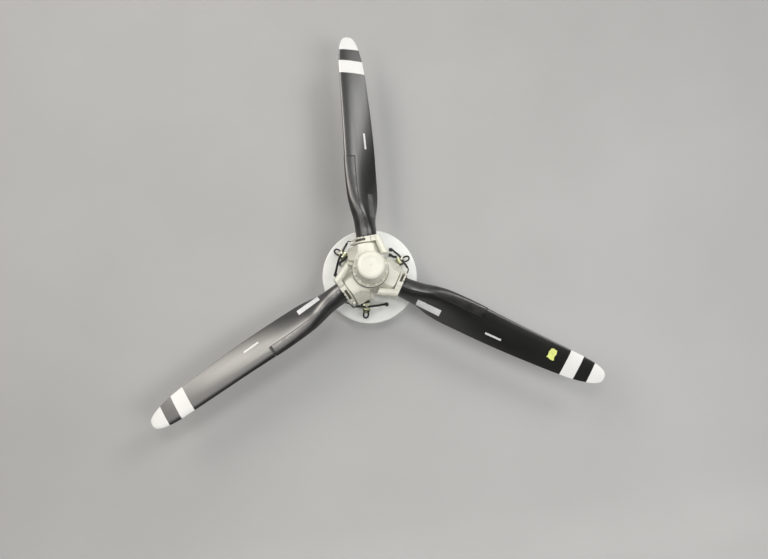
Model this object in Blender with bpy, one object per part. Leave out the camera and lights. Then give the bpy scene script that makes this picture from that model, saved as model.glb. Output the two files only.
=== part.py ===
"""Three-blade constant-speed aircraft propeller, taken off its engine.

The shaft axis lies along Y. The origin is the centre of the rear face of the hub's flange, where the
propeller bolts to the engine, and the front of the propeller faces -Y. Blade 1 points up, along +Z.
Seen from the front, blade 2 is the next one clockwise and blade 3 the one after it.
A "station" is a distance forward of the flange face, and a "span" is a distance out from the shaft axis.
"""
import math

import bmesh
import bpy
from mathutils import Matrix, Vector

# Driving dimensions, in metres and degrees
BLADE_COUNT = 3
TIP_SPAN = 0.9652
FIT_GAP = 0.0003
# How far cutting forms run past a face, and the block that cuts an arm back to the web's plane
CUT_PAST = 0.0100
HOLE_PAST = 0.0020
SIDE_CUT_OUTLINE = ((-0.150, 0), (0.200, 0), (0.200, 0.200), (-0.150, 0.200))
SIDE_CUT_START = -0.160

# Rear flange and its studs
FLANGE_RADIUS = 0.0730
FLANGE_THICKNESS = 0.0140
NECK_RADIUS = 0.0550
STUD_COUNT = 6
STUD_RADIUS = 0.00635
STUD_CIRCLE_RADIUS = 0.0603
STUD_REACH = 0.0300
STUD_DEPTH = 0.0120
STUD_CHAMFER = 0.0012

# Spinner bulkhead
BULKHEAD_FRONT = 0.0175
BULKHEAD_THICKNESS = 0.0030
BULKHEAD_RADIUS = 0.1865
BULKHEAD_RIM_DEPTH = 0.0165
BULKHEAD_BEND = 0.0060

# Slip ring behind the bulkhead
SLIP_RING_INNER = 0.0765
SLIP_RING_OUTER = 0.1040
SLIP_RING_DEPTH = 0.0120
TRACK_INNERS = (0.0800, 0.0915)
TRACK_WIDTH = 0.0080
TRACK_HEIGHT = 0.0012

# Hub: core, front boss, arms and the webs between them
BLADE_STATION = 0.1000
CORE_RADIUS = 0.0660
CORE_REAR = BULKHEAD_FRONT + FIT_GAP
CORE_FRONT = 0.1480
BOSS_RADIUS = 0.0640
BOSS_FRONT = 0.1650
ARM_SPAN = 0.1040
ARM_LIP_START = 0.0900
ARM_LIP_SPAN = 0.1070
ARM_LIP_RADIUS = 0.0500
# Arm section: distance towards the trailing side, distance forward of the blade's axis
ARM_OUTLINE = (
    (0.0210, 0.0500), (-0.0270, 0.0500), (-0.0600, 0.0430), (-0.0790, 0.0150),
    (-0.0790, -0.0250), (-0.0640, -0.0500), (0.0210, -0.0500), (0.0357, -0.0357),
    (0.0466, -0.0193), (0.0505, 0.0000), (0.0466, 0.0193), (0.0357, 0.0357),
)
WEB_ANGLE = 60
WEB_EDGE = 0.0080
# Slope on the arm's leading side: radius from the shaft, station. Past its width it falls back outward
SLOPE_OUTLINE = ((0.0664, 0.1565), (0.1420, 0.0200), (0.1420, 0.1565))
SLOPE_WIDTH = 0.0440
SLOPE_END_WIDTH = 0.0880
SLOPE_END_SHIFT = 0.0210
# Web between the arms: radius from the shaft, station
WEB_OUTLINE = ((0.0400, 0.0500), (0.1000, 0.0500), (0.1000, 0.0850), (0.0660, 0.1250), (0.0400, 0.1250))
WEB_START = -0.0060
WEB_END = 0.0120

# Blade socket
SOCKET_RADIUS = 0.0445
SOCKET_FLOOR_SPAN = 0.0560
SOCKET_END_SPAN = 0.0883

# Blade root
SHANK_RADIUS = 0.0385
ROOT_FLANGE_RADIUS = 0.0438
ROOT_START_SPAN = 0.0600
ROOT_FLANGE_END_SPAN = 0.0872
ROOT_CHAMFER = 0.0008

# Clamp round each blade root, with its counterweight
CLAMP_INNER_SPAN = 0.1090
CLAMP_OUTER_SPAN = 0.1310
CLAMP_RADIUS = 0.0560
CLAMP_BORE = SHANK_RADIUS + FIT_GAP
CLAMP_NOTCHES = 24
CLAMP_NOTCH_DEPTH = 0.0035
CLAMP_NOTCH_WIDTH = 0.0060
CLAMP_NOTCH_FLOOR = 0.0495
CLAMP_NOTCH_REACH = 0.0200
CLAMP_PLAIN_SIDE = (5, 95)
WINDOW_SIDE = (98, 154)
WINDOW_SPANS = (0.1145, 0.1245)
WINDOW_FLOOR = 0.0460
CLAMP_EAR = ((-0.0660, 0.0080), (-0.0660, -0.0120), (-0.0500, -0.0160), (-0.0500, 0.0120))
CLAMP_EAR_SPANS = (0.1120, 0.1220)
# Saddle under the counterweight: distance towards the trailing side, distance forward
SADDLE_INSET = 0.0005
SADDLE_OUTLINE = ((0.0040, 0.0480), (0.0160, 0.0620), (0.0340, 0.0670), (0.0500, 0.0560), (0.0510, 0.0150),
                  (0.0300, 0.0380))
WEIGHT_RADIUS = 0.0145
WEIGHT_FORWARD = 0.0550
WEIGHT_SPANS = (0.1305, 0.0600, 0.0585)
WEIGHT_OFFSETS = (0.0346, 0.0595, 0.0600)
WEIGHT_SHARES = (1.00, 1.00, 0.90)
WEIGHT_SIDES = 24

# Pitch cylinder on the front, and the seal under its flange
SEAL_RADIUS = 0.0682
SEAL_BORE = 0.0450
SEAL_THICKNESS = 0.0030
CYLINDER_REAR = BOSS_FRONT + SEAL_THICKNESS + 2 * FIT_GAP
CYLINDER_FLANGE_RADIUS = 0.0665
CYLINDER_FLANGE_FRONT = 0.1780
CYLINDER_FLANGE_CHAMFER = 0.0015
CYLINDER_STEP_RADIUS = 0.0545
CYLINDER_STEP_FRONT = 0.1870
CYLINDER_STEP_SLOPE = 0.0040
CYLINDER_RADIUS = 0.0512
CYLINDER_FRONT = 0.2690
CYLINDER_EDGE_ROUND = 0.0090
PLUG_RADIUS = 0.0050
PLUG_HEIGHT = 0.0010

# De-icing boot
BOOT_START_SPAN = 0.1340
BOOT_END_SPAN = 0.4600
BOOT_THICKNESS = 0.0016
BOOT_EDGE_THICKNESS = 0.0007
BOOT_REACH = 5

# Bracket, terminal block, leads and their fixings, between each blade and the next
BRACKET_ANGLE = math.radians(-49)
BRACKET_WIDTH = 0.0280
BRACKET_SHEET = 0.0018
BRACKET_FOOT_INNER = 0.1180
BRACKET_FOOT_OUTER = 0.1480
BRACKET_TAB_STATION = 0.0820
BRACKET_TAB_OUTER = 0.1420
BLOCK_INNER = BRACKET_FOOT_INNER + BRACKET_SHEET + FIT_GAP
BLOCK_OUTER = 0.1400
BLOCK_WIDTH = 0.0260
BLOCK_TOP = 0.0540
BLOCK_EDGE = 0.0012
LEAD_RADIUS = 0.0042
# Lead: angle from the blade's axis towards the next blade, radius from the shaft, station
LEAD_ROUTE = (
    (32.2, 0.1436, 0.1000),
    (36.0, 0.1402, 0.0965),
    (40.5, 0.1374, 0.0930),
    (45.0, 0.1350, 0.0905),
    (49.0, 0.1332, 0.0895),
    (54.0, 0.1320, 0.0890),
    (61.0, 0.1305, 0.0830),
    (68.0, 0.1302, 0.0690),
    (75.0, 0.1312, 0.0540),
    (80.5, 0.1335, 0.0420),
    (83.0, 0.1345, 0.0310),
    (83.0, 0.1345, 0.0220),
)
# How far each lead is swept round past its bracket, and how far out it lies from the common route
LEAD_SWEEPS = (1.00, 0.80, 1.06)
LEAD_SHIFTS = (0.0000, 0.0000, -0.0040)
LEAD_CLAMP_POINT = 4
LEAD_CLAMP_WALL = 0.0014
LEAD_CLAMP_WIDTH = 0.0080
LEAD_CLAMP_SLACK = 0.0006
# Bonding lead of each set, from beside the bracket down to the bulkhead
BONDING_RADIUS = 0.0046
BONDING_ROUTES = (
    ((47.5, 0.1118, 0.0700), (52.5, 0.1115, 0.0735), (58.5, 0.1160, 0.0735), (61.0, 0.1205, 0.0680),
     (63.4, 0.1235, 0.0560), (64.0, 0.1245, 0.0430), (64.2, 0.1250, 0.0310), (64.2, 0.1250, 0.0178)),
    ((58.4, 0.1225, 0.0640), (59.2, 0.1160, 0.0700), (62.0, 0.1110, 0.0735), (66.0, 0.1095, 0.0720),
     (69.4, 0.1105, 0.0620), (70.6, 0.1125, 0.0470), (70.8, 0.1135, 0.0310), (70.8, 0.1135, 0.0178)),
    ((54.1, 0.1062, 0.0690), (50.5, 0.1080, 0.0700), (46.5, 0.1105, 0.0670), (43.0, 0.1132, 0.0585),
     (40.0, 0.1150, 0.0460), (39.0, 0.1168, 0.0350), (38.8, 0.1175, 0.0260), (38.8, 0.1175, 0.0178)),
)
LOOP_RADIUS = 0.0034
LOOP_STATION = 0.0420
# Loop at the terminal block: distance across, distance out, lift
LOOP_ROUTE = (
    (-0.0080, 0.0000, 0.0000),
    (-0.0082, 0.0060, 0.0002),
    (-0.0094, 0.0150, 0.0010),
    (-0.0070, 0.0235, 0.0015),
    (0.0000, 0.0275, 0.0015),
    (0.0070, 0.0235, 0.0015),
    (0.0094, 0.0150, 0.0010),
    (0.0082, 0.0060, 0.0002),
    (0.0080, 0.0000, 0.0000),
)
GROMMET_RADIUS = 0.0080
GROMMET_HEIGHT = 0.0030
GROMMET_EDGE = 0.0012

# Blade outline: span, leading edge, trailing edge (from the pitch axis), thickness, pitch angle
BLADE_ROWS = (
    (0.150, 0.0387, 0.0387, 0.0772, 31.0),
    (0.200, 0.0465, 0.0455, 0.0610, 31.0),
    (0.250, 0.0590, 0.0590, 0.0420, 30.0),
    (0.300, 0.0655, 0.0660, 0.0300, 28.0),
    (0.400, 0.0650, 0.0678, 0.0195, 24.5),
    (0.500, 0.0592, 0.0677, 0.0150, 20.5),
    (0.600, 0.0541, 0.0657, 0.0120, 17.5),
    (0.700, 0.0503, 0.0618, 0.0097, 15.0),
    (0.800, 0.0471, 0.0564, 0.0077, 13.0),
    (0.840, 0.0455, 0.0530, 0.0070, 12.4),
    (0.966, 0.0445, 0.0415, 0.0060, 11.0),
)
BLADE_SPANS = (0.134, 0.150, 0.175, 0.200, 0.225, 0.250, 0.280, 0.320, 0.370, 0.415, 0.460,
               0.520, 0.580, 0.640, 0.700, 0.750, 0.800, 0.840)
SHANK_END_SPAN = 0.150
AIRFOIL_START_SPAN = 0.270
TIP_START_SPAN = 0.840
TIP_STEPS = 8
TIP_END_SHARE = 0.15
FLAT_BACK = 0.70
EDGE_ROUND = 0.0008
BLADE_SIDES = 24

# Local Z of a turned form, laid along the shaft and pointing forward
SHAFT_TO_WORLD = Matrix.Rotation(math.radians(90), 4, "X")


def clear_scene():
    """Removes whatever the file holds, so that the propeller stands alone."""
    for old in list(bpy.data.objects):
        bpy.data.objects.remove(old, do_unlink=True)


def make_material(name, colour, roughness, metallic=0.0):
    material = bpy.data.materials.new(name)
    material.use_nodes = True
    shader = material.node_tree.nodes["Principled BSDF"]
    shader.inputs["Base Color"].default_value = (*colour, 1.0)
    shader.inputs["Roughness"].default_value = roughness
    shader.inputs["Metallic"].default_value = metallic
    material.diffuse_color = (*colour, 1.0)
    return material


def add_object(name, bm, look, parent=None, place=None):
    """Turns a bmesh into a named object with its material, with its faces turned outward."""
    bmesh.ops.recalc_face_normals(bm, faces=bm.faces)
    mesh = bpy.data.meshes.new(name)
    bm.to_mesh(mesh)
    bm.free()
    mesh.shade_smooth()
    mesh.set_sharp_from_angle(angle=math.radians(35))
    thing = bpy.data.objects.new(name, mesh)
    bpy.context.scene.collection.objects.link(thing)
    thing.data.materials.append(look)
    thing.parent = parent
    if place is not None:
        thing.matrix_local = place
    return thing


def as_guide(thing):
    """Marks a form that only shapes another piece."""
    thing.hide_render = True
    thing.display_type = "WIRE"
    return thing


def combine(target, form, operation):
    modifier = target.modifiers.new(form.name, "BOOLEAN")
    modifier.operation = operation
    modifier.solver = "EXACT"
    modifier.object = form


def turned(profile, sides, ring=False):
    """A turned form about local Z from (radius, height) points: a ring if its outline closes on itself."""
    bm = bmesh.new()
    points = [bm.verts.new((radius, 0.0, height)) for radius, height in profile]
    edges = [bm.edges.new(pair) for pair in zip(points, points[1:])]
    if ring:
        edges.append(bm.edges.new((points[-1], points[0])))
    bmesh.ops.spin(bm, geom=points + edges, axis=(0, 0, 1), cent=(0, 0, 0),
                   angle=math.tau, steps=sides, use_merge=True)
    bmesh.ops.remove_doubles(bm, verts=bm.verts, dist=0.000001)
    return bm


def round_corner(radius, height, size, steps, turn):
    """Points of a rounded outer corner, from the side (turn 1) or from the face (turn -1)."""
    points = []
    for step in range(steps + 1):
        angle = math.radians(90) * (step / steps if turn > 0 else 1 - step / steps)
        points.append((radius - size + size * math.cos(angle), height - size + size * math.sin(angle)))
    return points


def prism(outline, low, high):
    """A flat outline in local X and Y, pulled out along local Z."""
    bm = bmesh.new()
    face = bm.faces.new([bm.verts.new((x, y, low)) for x, y in outline])
    pulled = bmesh.ops.extrude_face_region(bm, geom=[face])["geom"]
    moved = [item for item in pulled if isinstance(item, bmesh.types.BMVert)]
    bmesh.ops.translate(bm, vec=(0, 0, high - low), verts=moved)
    return bm


def blade_turn(index):
    return math.tau * index / BLADE_COUNT


def on_shaft(angle, radius, station):
    """A world point from its angle (clockwise from blade 1, seen from the front), radius and station."""
    return Vector((radius * math.sin(angle), -station, radius * math.cos(angle)))


# Materials
def make_looks():
    return {
        "cream": make_material("cream_enamel", (0.76, 0.75, 0.68), 0.42),
        "white": make_material("white_enamel", (0.86, 0.87, 0.85), 0.40),
        "black": make_material("black_blade_paint", (0.035, 0.036, 0.040), 0.45),
        "rubber": make_material("black_rubber", (0.022, 0.022, 0.024), 0.62),
        "chromate": make_material("yellow_chromate", (0.70, 0.71, 0.48), 0.45, 0.5),
        "steel": make_material("plated_steel", (0.56, 0.56, 0.55), 0.34, 1.0),
        "copper": make_material("slip_ring_copper", (0.72, 0.38, 0.24), 0.32, 1.0),
        "resin": make_material("black_resin", (0.03, 0.03, 0.032), 0.50),
    }


# Frames
def blade_frame(index):
    """Local Z runs out along the blade's pitch axis, and local Y to the rear."""
    return Matrix.Translation((0, -BLADE_STATION, 0)) @ Matrix.Rotation(blade_turn(index), 4, "Y")


def stud_frame(index):
    angle = math.tau * (index + 0.5) / STUD_COUNT
    return Matrix.Translation(on_shaft(angle, STUD_CIRCLE_RADIUS, 0)) @ SHAFT_TO_WORLD


def side_frame(angle):
    """Local X runs out from the shaft at an angle, local Y forward, and local Z across."""
    outward = on_shaft(angle, 1, 0)
    forward = Vector((0, -1, 0))
    return Matrix((outward, forward, outward.cross(forward))).transposed().to_4x4()


def sector_frame(index):
    """Local X runs out at the bracket's angle, local Y along the turn, and local Z forward."""
    outward = on_shaft(blade_turn(index) + BRACKET_ANGLE, 1, 0)
    forward = Vector((0, -1, 0))
    return Matrix((outward, forward.cross(outward), forward)).transposed().to_4x4()


# Hub
def make_arm(index, look):
    """One arm: flat in front, round on the trailing side, cut back and sloped on the leading side."""
    section = [(across, -forward) for across, forward in ARM_OUTLINE]
    arm = as_guide(add_object(f"hub_arm_form_{index + 1}", prism(section, 0, ARM_SPAN), look,
                              place=blade_frame(index)))
    web = side_frame(blade_turn(index) - math.radians(WEB_ANGLE))
    beyond = prism(SIDE_CUT_OUTLINE, SIDE_CUT_START, WEB_EDGE)
    combine(arm, as_guide(add_object(f"arm_side_form_{index + 1}", beyond, look, place=web)), "DIFFERENCE")
    slope = loft([[(radius + shift, station, across) for radius, station in SLOPE_OUTLINE]
                  for across, shift in ((0, 0), (SLOPE_WIDTH, 0), (SLOPE_END_WIDTH, SLOPE_END_SHIFT))])
    combine(arm, as_guide(add_object(f"arm_slope_form_{index + 1}", slope, look, place=web)), "DIFFERENCE")
    return arm


def make_hub(look):
    """The hub in one piece: flange, neck, core, front boss, three arms with sockets, and three webs."""
    shape = [(0, 0), (FLANGE_RADIUS, 0), (FLANGE_RADIUS, FLANGE_THICKNESS), (NECK_RADIUS, FLANGE_THICKNESS),
             (NECK_RADIUS, CORE_REAR), (CORE_RADIUS, CORE_REAR), (CORE_RADIUS, CORE_FRONT),
             (BOSS_RADIUS, CORE_FRONT), (BOSS_RADIUS, BOSS_FRONT), (0, BOSS_FRONT)]
    hub = add_object("hub_body", turned(shape, 48), look, place=SHAFT_TO_WORLD)
    for index in range(BLADE_COUNT):
        combine(hub, make_arm(index, look), "UNION")
    for index in range(BLADE_COUNT):
        web = as_guide(add_object(f"hub_web_form_{index + 1}", prism(WEB_OUTLINE, WEB_START, WEB_END), look,
                                  place=side_frame(blade_turn(index) - math.radians(WEB_ANGLE))))
        combine(hub, web, "UNION")
    lip = [(0, ARM_LIP_START), (ARM_LIP_RADIUS, ARM_LIP_START), (ARM_LIP_RADIUS, ARM_LIP_SPAN),
           (0, ARM_LIP_SPAN)]
    for index in range(BLADE_COUNT):
        rim = as_guide(add_object(f"hub_lip_form_{index + 1}", turned(lip, 40), look,
                                  place=blade_frame(index)))
        combine(hub, rim, "UNION")
    for index in range(BLADE_COUNT):
        mouth = SHANK_RADIUS + FIT_GAP
        bore = [(0, SOCKET_FLOOR_SPAN), (SOCKET_RADIUS, SOCKET_FLOOR_SPAN),
                (SOCKET_RADIUS, SOCKET_END_SPAN), (mouth, SOCKET_END_SPAN),
                (mouth, ARM_LIP_SPAN + CUT_PAST), (0, ARM_LIP_SPAN + CUT_PAST)]
        socket = as_guide(add_object(f"hub_socket_form_{index + 1}", turned(bore, 40), look,
                                     place=blade_frame(index)))
        combine(hub, socket, "DIFFERENCE")
    for index in range(STUD_COUNT):
        radius, depth = STUD_RADIUS + FIT_GAP, STUD_DEPTH + FIT_GAP
        hole = [(0, -HOLE_PAST), (radius, -HOLE_PAST), (radius, depth), (0, depth)]
        cutter = as_guide(add_object(f"stud_hole_form_{index + 1}", turned(hole, 16), look,
                                     place=stud_frame(index)))
        combine(hub, cutter, "DIFFERENCE")


def make_studs(look):
    for index in range(STUD_COUNT):
        shape = [(0, -STUD_REACH), (STUD_RADIUS - STUD_CHAMFER, -STUD_REACH),
                 (STUD_RADIUS, -STUD_REACH + STUD_CHAMFER), (STUD_RADIUS, STUD_DEPTH), (0, STUD_DEPTH)]
        add_object(f"mounting_stud_{index + 1}", turned(shape, 16), look, place=stud_frame(index))


# Clamp and counterweight on each blade root
def arc_block(inner, outer, sides, steps):
    """Outline of a piece of a ring, between two angles counted from the trailing side to the front."""
    angles = [math.radians(sides[0] + (sides[1] - sides[0]) * k / steps) for k in range(steps + 1)]
    outline = [(outer * math.cos(angle), -outer * math.sin(angle)) for angle in angles]
    return outline + [(inner * math.cos(angle), -inner * math.sin(angle)) for angle in reversed(angles)]


def make_weight():
    """The counterweight: a stout round bar that leans away from the blade's axis."""
    rings = []
    for span, offset, share in zip(WEIGHT_SPANS, WEIGHT_OFFSETS, WEIGHT_SHARES):
        ring = []
        for k in range(WEIGHT_SIDES):
            angle = math.tau * k / WEIGHT_SIDES
            ring.append((offset + share * WEIGHT_RADIUS * math.cos(angle),
                         -WEIGHT_FORWARD - share * WEIGHT_RADIUS * math.sin(angle), span))
        rings.append(ring)
    return loft(rings)


def make_clamp(index, parent, look):
    """The notched clamp round the blade root, in one piece with its counterweight."""
    shape = [(CLAMP_BORE, CLAMP_INNER_SPAN), (CLAMP_RADIUS, CLAMP_INNER_SPAN),
             (CLAMP_RADIUS, CLAMP_OUTER_SPAN), (CLAMP_BORE, CLAMP_OUTER_SPAN)]
    name = f"counterweight_clamp_{index + 1}"
    clamp = add_object(name, turned(shape, 40, ring=True), look, parent=parent)
    forms = [
        ("saddle", prism([(across, -forward) for across, forward in SADDLE_OUTLINE],
                         CLAMP_INNER_SPAN + SADDLE_INSET, CLAMP_OUTER_SPAN - SADDLE_INSET), "UNION"),
        ("weight", make_weight(), "UNION"),
        ("ear", prism(CLAMP_EAR, *CLAMP_EAR_SPANS), "UNION"),
        ("window", prism(arc_block(WINDOW_FLOOR, CLAMP_RADIUS + CUT_PAST, WINDOW_SIDE, 6), *WINDOW_SPANS),
         "DIFFERENCE"),
        ("notches", make_notches(), "DIFFERENCE"),
    ]
    for form, bm, operation in forms:
        guide = as_guide(add_object(f"clamp_{form}_form_{index + 1}", bm, look, parent=parent))
        combine(clamp, guide, operation)


def make_notches():
    """Blocks that cut the notches along the clamp's outer rim, except beside the counterweight."""
    notches = bmesh.new()
    for notch in range(CLAMP_NOTCHES):
        side = 360 * notch / CLAMP_NOTCHES
        if CLAMP_PLAIN_SIDE[0] < side < CLAMP_PLAIN_SIDE[1]:
            continue
        size = Matrix.Diagonal((CLAMP_NOTCH_REACH, CLAMP_NOTCH_WIDTH, 2 * CLAMP_NOTCH_DEPTH, 1))
        middle = Matrix.Translation((CLAMP_NOTCH_FLOOR + CLAMP_NOTCH_REACH / 2, 0, CLAMP_OUTER_SPAN))
        turn = Matrix.Rotation(math.radians(-side), 4, "Z")
        bmesh.ops.create_cube(notches, size=1, matrix=turn @ middle @ size)
    return notches


# Blade
def smooth_value(span, column):
    """A smooth curve through one column of the blade's rows."""
    rows = BLADE_ROWS
    if span <= rows[0][0]:
        return rows[0][column]
    for k in range(len(rows) - 1):
        if span <= rows[k + 1][0]:
            break
    start, end = rows[k], rows[k + 1]
    before = rows[max(k - 1, 0)]
    after = rows[min(k + 2, len(rows) - 1)]
    width = end[0] - start[0]
    slope_start = (end[column] - before[column]) / (end[0] - before[0])
    slope_end = (after[column] - start[column]) / (after[0] - start[0])
    t = (span - start[0]) / width
    return (start[column] * (1 + 2 * t) * (1 - t) ** 2 + end[column] * t * t * (3 - 2 * t)
            + width * (slope_start * t * (1 - t) ** 2 - slope_end * t * t * (1 - t)))


def roundness(span):
    """1 on the round shank, 0 where the blade is a full airfoil."""
    t = (span - SHANK_END_SPAN) / (AIRFOIL_START_SPAN - SHANK_END_SPAN)
    t = min(max(t, 0.0), 1.0)
    return 1 - t * t * (3 - 2 * t)


def tip_width(span):
    """The share of the chord that is left as the tip rounds off."""
    if span <= TIP_START_SPAN:
        return 1.0
    t = (span - TIP_START_SPAN) / (TIP_SPAN - TIP_START_SPAN)
    return max((1 - min(t, 1.0) ** 2) ** (1 / 3), TIP_END_SHARE)


def blade_section(span):
    """Points of one section, from the leading edge over the cambered front and back along the flat rear."""
    share = tip_width(span)
    lead = smooth_value(span, 1) * share
    trail = smooth_value(span, 2) * share
    thick = smooth_value(span, 3) * share
    pitch = math.radians(smooth_value(span, 4))
    round_share = roundness(span)
    toward_lead = Vector((-math.cos(pitch), -math.sin(pitch)))
    toward_front = Vector((math.sin(pitch), -math.cos(pitch)))
    points = []
    for k in range(BLADE_SIDES):
        angle = math.tau * k / BLADE_SIDES
        x = (1 - math.cos(angle)) / 2
        half = 5 * thick * (0.2969 * math.sqrt(x) - 0.1260 * x - 0.3516 * x ** 2 + 0.2843 * x ** 3
                            - 0.1036 * x ** 4)
        side = 1 if math.sin(angle) >= 0 else -1
        airfoil = half * (side + FLAT_BACK) + EDGE_ROUND * math.sin(angle) * share
        circle = thick / 2 * math.sin(angle)
        across = lead - (lead + trail) * x
        out = circle * round_share + airfoil * (1 - round_share)
        points.append(toward_lead * across + toward_front * out)
    return points


def loft(rings):
    """Joins rings of points, each a list of local coordinates, and closes both ends."""
    bm = bmesh.new()
    loops = [[bm.verts.new(point) for point in ring] for ring in rings]
    count = len(loops[0])
    for near, far in zip(loops, loops[1:]):
        for k in range(count):
            bm.faces.new((near[k], near[(k + 1) % count], far[(k + 1) % count], far[k]))
    bm.faces.new(loops[0])
    bm.faces.new(loops[-1])
    return bm


def circle_ring(radius, span):
    pitch = math.radians(BLADE_ROWS[0][4])
    points = []
    for k in range(BLADE_SIDES):
        angle = math.tau * k / BLADE_SIDES
        across, out = radius * math.cos(angle), radius * math.sin(angle)
        points.append((-math.cos(pitch) * across + math.sin(pitch) * out,
                       -math.sin(pitch) * across - math.cos(pitch) * out, span))
    return points


def make_blade(index, parent, look):
    rings = [circle_ring(ROOT_FLANGE_RADIUS, ROOT_START_SPAN),
             circle_ring(ROOT_FLANGE_RADIUS, ROOT_FLANGE_END_SPAN),
             circle_ring(SHANK_RADIUS, ROOT_FLANGE_END_SPAN + ROOT_CHAMFER)]
    spans = list(BLADE_SPANS)
    for step in range(1, TIP_STEPS + 1):
        share = math.sin(math.radians(90) * step / TIP_STEPS)
        spans.append(TIP_START_SPAN + (TIP_SPAN - TIP_START_SPAN) * share)
    for span in spans:
        if span <= SHANK_END_SPAN:
            rings.append(circle_ring(SHANK_RADIUS, span))
        else:
            rings.append([(point.x, point.y, span) for point in blade_section(span)])
    add_object(f"blade_{index + 1}", loft(rings), look, parent=parent)


# De-icing boot
def make_boot(index, parent, look):
    """The rubber heater sheet bonded round the leading edge."""
    picks = list(range(-BOOT_REACH, BOOT_REACH + 1))
    rings = []
    for span in [s for s in BLADE_SPANS if BOOT_START_SPAN <= s <= BOOT_END_SPAN]:
        if span <= SHANK_END_SPAN:
            section = [Vector(point[:2]) for point in circle_ring(SHANK_RADIUS, span)]
        else:
            section = blade_section(span)
        inner, outer = [], []
        for k in picks:
            here = section[k % BLADE_SIDES]
            along = section[(k + 1) % BLADE_SIDES] - section[(k - 1) % BLADE_SIDES]
            normal = Vector((along.y, -along.x)).normalized()
            thickness = BOOT_EDGE_THICKNESS if abs(k) == BOOT_REACH else BOOT_THICKNESS
            low = here + normal * FIT_GAP
            high = here + normal * (FIT_GAP + thickness)
            inner.append((low.x, low.y, span))
            outer.append((high.x, high.y, span))
        rings.append(inner + outer[::-1])
    add_object(f"deice_boot_{index + 1}", loft(rings), look, parent=parent)


# Pitch cylinder
def make_seal(look):
    """The flat dark seal between the hub's front boss and the cylinder's flange."""
    rear = BOSS_FRONT + FIT_GAP
    front = rear + SEAL_THICKNESS
    shape = [(SEAL_BORE, rear), (SEAL_RADIUS, rear), (SEAL_RADIUS, front), (SEAL_BORE, front)]
    add_object("cylinder_seal", turned(shape, 48, ring=True), look, place=SHAFT_TO_WORLD)


def make_cylinder(look):
    edge = CYLINDER_FLANGE_CHAMFER
    shape = [(0, CYLINDER_REAR), (CYLINDER_FLANGE_RADIUS, CYLINDER_REAR),
             (CYLINDER_FLANGE_RADIUS, CYLINDER_FLANGE_FRONT - edge),
             (CYLINDER_FLANGE_RADIUS - edge, CYLINDER_FLANGE_FRONT),
             (CYLINDER_STEP_RADIUS, CYLINDER_FLANGE_FRONT), (CYLINDER_STEP_RADIUS, CYLINDER_STEP_FRONT),
             (CYLINDER_RADIUS, CYLINDER_STEP_FRONT + CYLINDER_STEP_SLOPE)]
    shape += round_corner(CYLINDER_RADIUS, CYLINDER_FRONT, CYLINDER_EDGE_ROUND, 4, 1)
    shape.append((0, CYLINDER_FRONT))
    add_object("pitch_cylinder", turned(shape, 48), look, place=SHAFT_TO_WORLD)


def make_plug(look):
    """The small plug in the middle of the cylinder's front."""
    base = CYLINDER_FRONT + FIT_GAP
    shape = [(0, base), (PLUG_RADIUS, base), (PLUG_RADIUS, base + PLUG_HEIGHT), (0, base + PLUG_HEIGHT)]
    add_object("cylinder_plug", turned(shape, 24), look, place=SHAFT_TO_WORLD)


# Spinner bulkhead and slip ring
def make_bulkhead(look):
    rear = BULKHEAD_FRONT - BULKHEAD_THICKNESS
    inside = BULKHEAD_RADIUS - BULKHEAD_THICKNESS
    bore = NECK_RADIUS + FIT_GAP
    lip = BULKHEAD_FRONT - BULKHEAD_RIM_DEPTH
    shape = [(bore, rear), (bore, BULKHEAD_FRONT)]
    shape += round_corner(BULKHEAD_RADIUS, BULKHEAD_FRONT, BULKHEAD_BEND, 2, -1)
    shape += [(BULKHEAD_RADIUS, lip), (inside, lip)]
    shape += round_corner(inside, rear, BULKHEAD_BEND - BULKHEAD_THICKNESS, 1, 1)
    add_object("spinner_bulkhead", turned(shape, 60, ring=True), look, place=SHAFT_TO_WORLD)


def make_slip_ring(body_look, track_look):
    front = BULKHEAD_FRONT - BULKHEAD_THICKNESS - FIT_GAP
    rear = front - SLIP_RING_DEPTH
    shape = [(SLIP_RING_INNER, rear), (SLIP_RING_OUTER, rear),
             (SLIP_RING_OUTER, front), (SLIP_RING_INNER, front)]
    add_object("slip_ring_body", turned(shape, 48, ring=True), body_look, place=SHAFT_TO_WORLD)
    top = rear - FIT_GAP
    for number, inner in enumerate(TRACK_INNERS):
        outer = inner + TRACK_WIDTH
        track = [(inner, top - TRACK_HEIGHT), (outer, top - TRACK_HEIGHT), (outer, top), (inner, top)]
        add_object(f"slip_ring_track_{number + 1}", turned(track, 48, ring=True), track_look,
                   place=SHAFT_TO_WORLD)


# Bracket and terminal block between each blade and the next
def make_bracket(index, look):
    """A sheet bracket: a foot on the bulkhead, an upright, and a tab that carries the lead."""
    foot = BULKHEAD_FRONT + FIT_GAP
    sheet = BRACKET_SHEET
    inner = BRACKET_FOOT_INNER
    tab = BRACKET_TAB_STATION
    outline = [(BRACKET_FOOT_OUTER, foot), (BRACKET_FOOT_OUTER, foot + sheet), (inner + sheet, foot + sheet),
               (inner + sheet, tab - sheet), (BRACKET_TAB_OUTER, tab - sheet), (BRACKET_TAB_OUTER, tab),
               (inner, tab), (inner, foot)]
    upright = Matrix.Rotation(math.radians(90), 4, "X")
    add_object(f"lead_bracket_{index + 1}", prism(outline, -BRACKET_WIDTH / 2, BRACKET_WIDTH / 2), look,
               place=sector_frame(index) @ upright)


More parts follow.
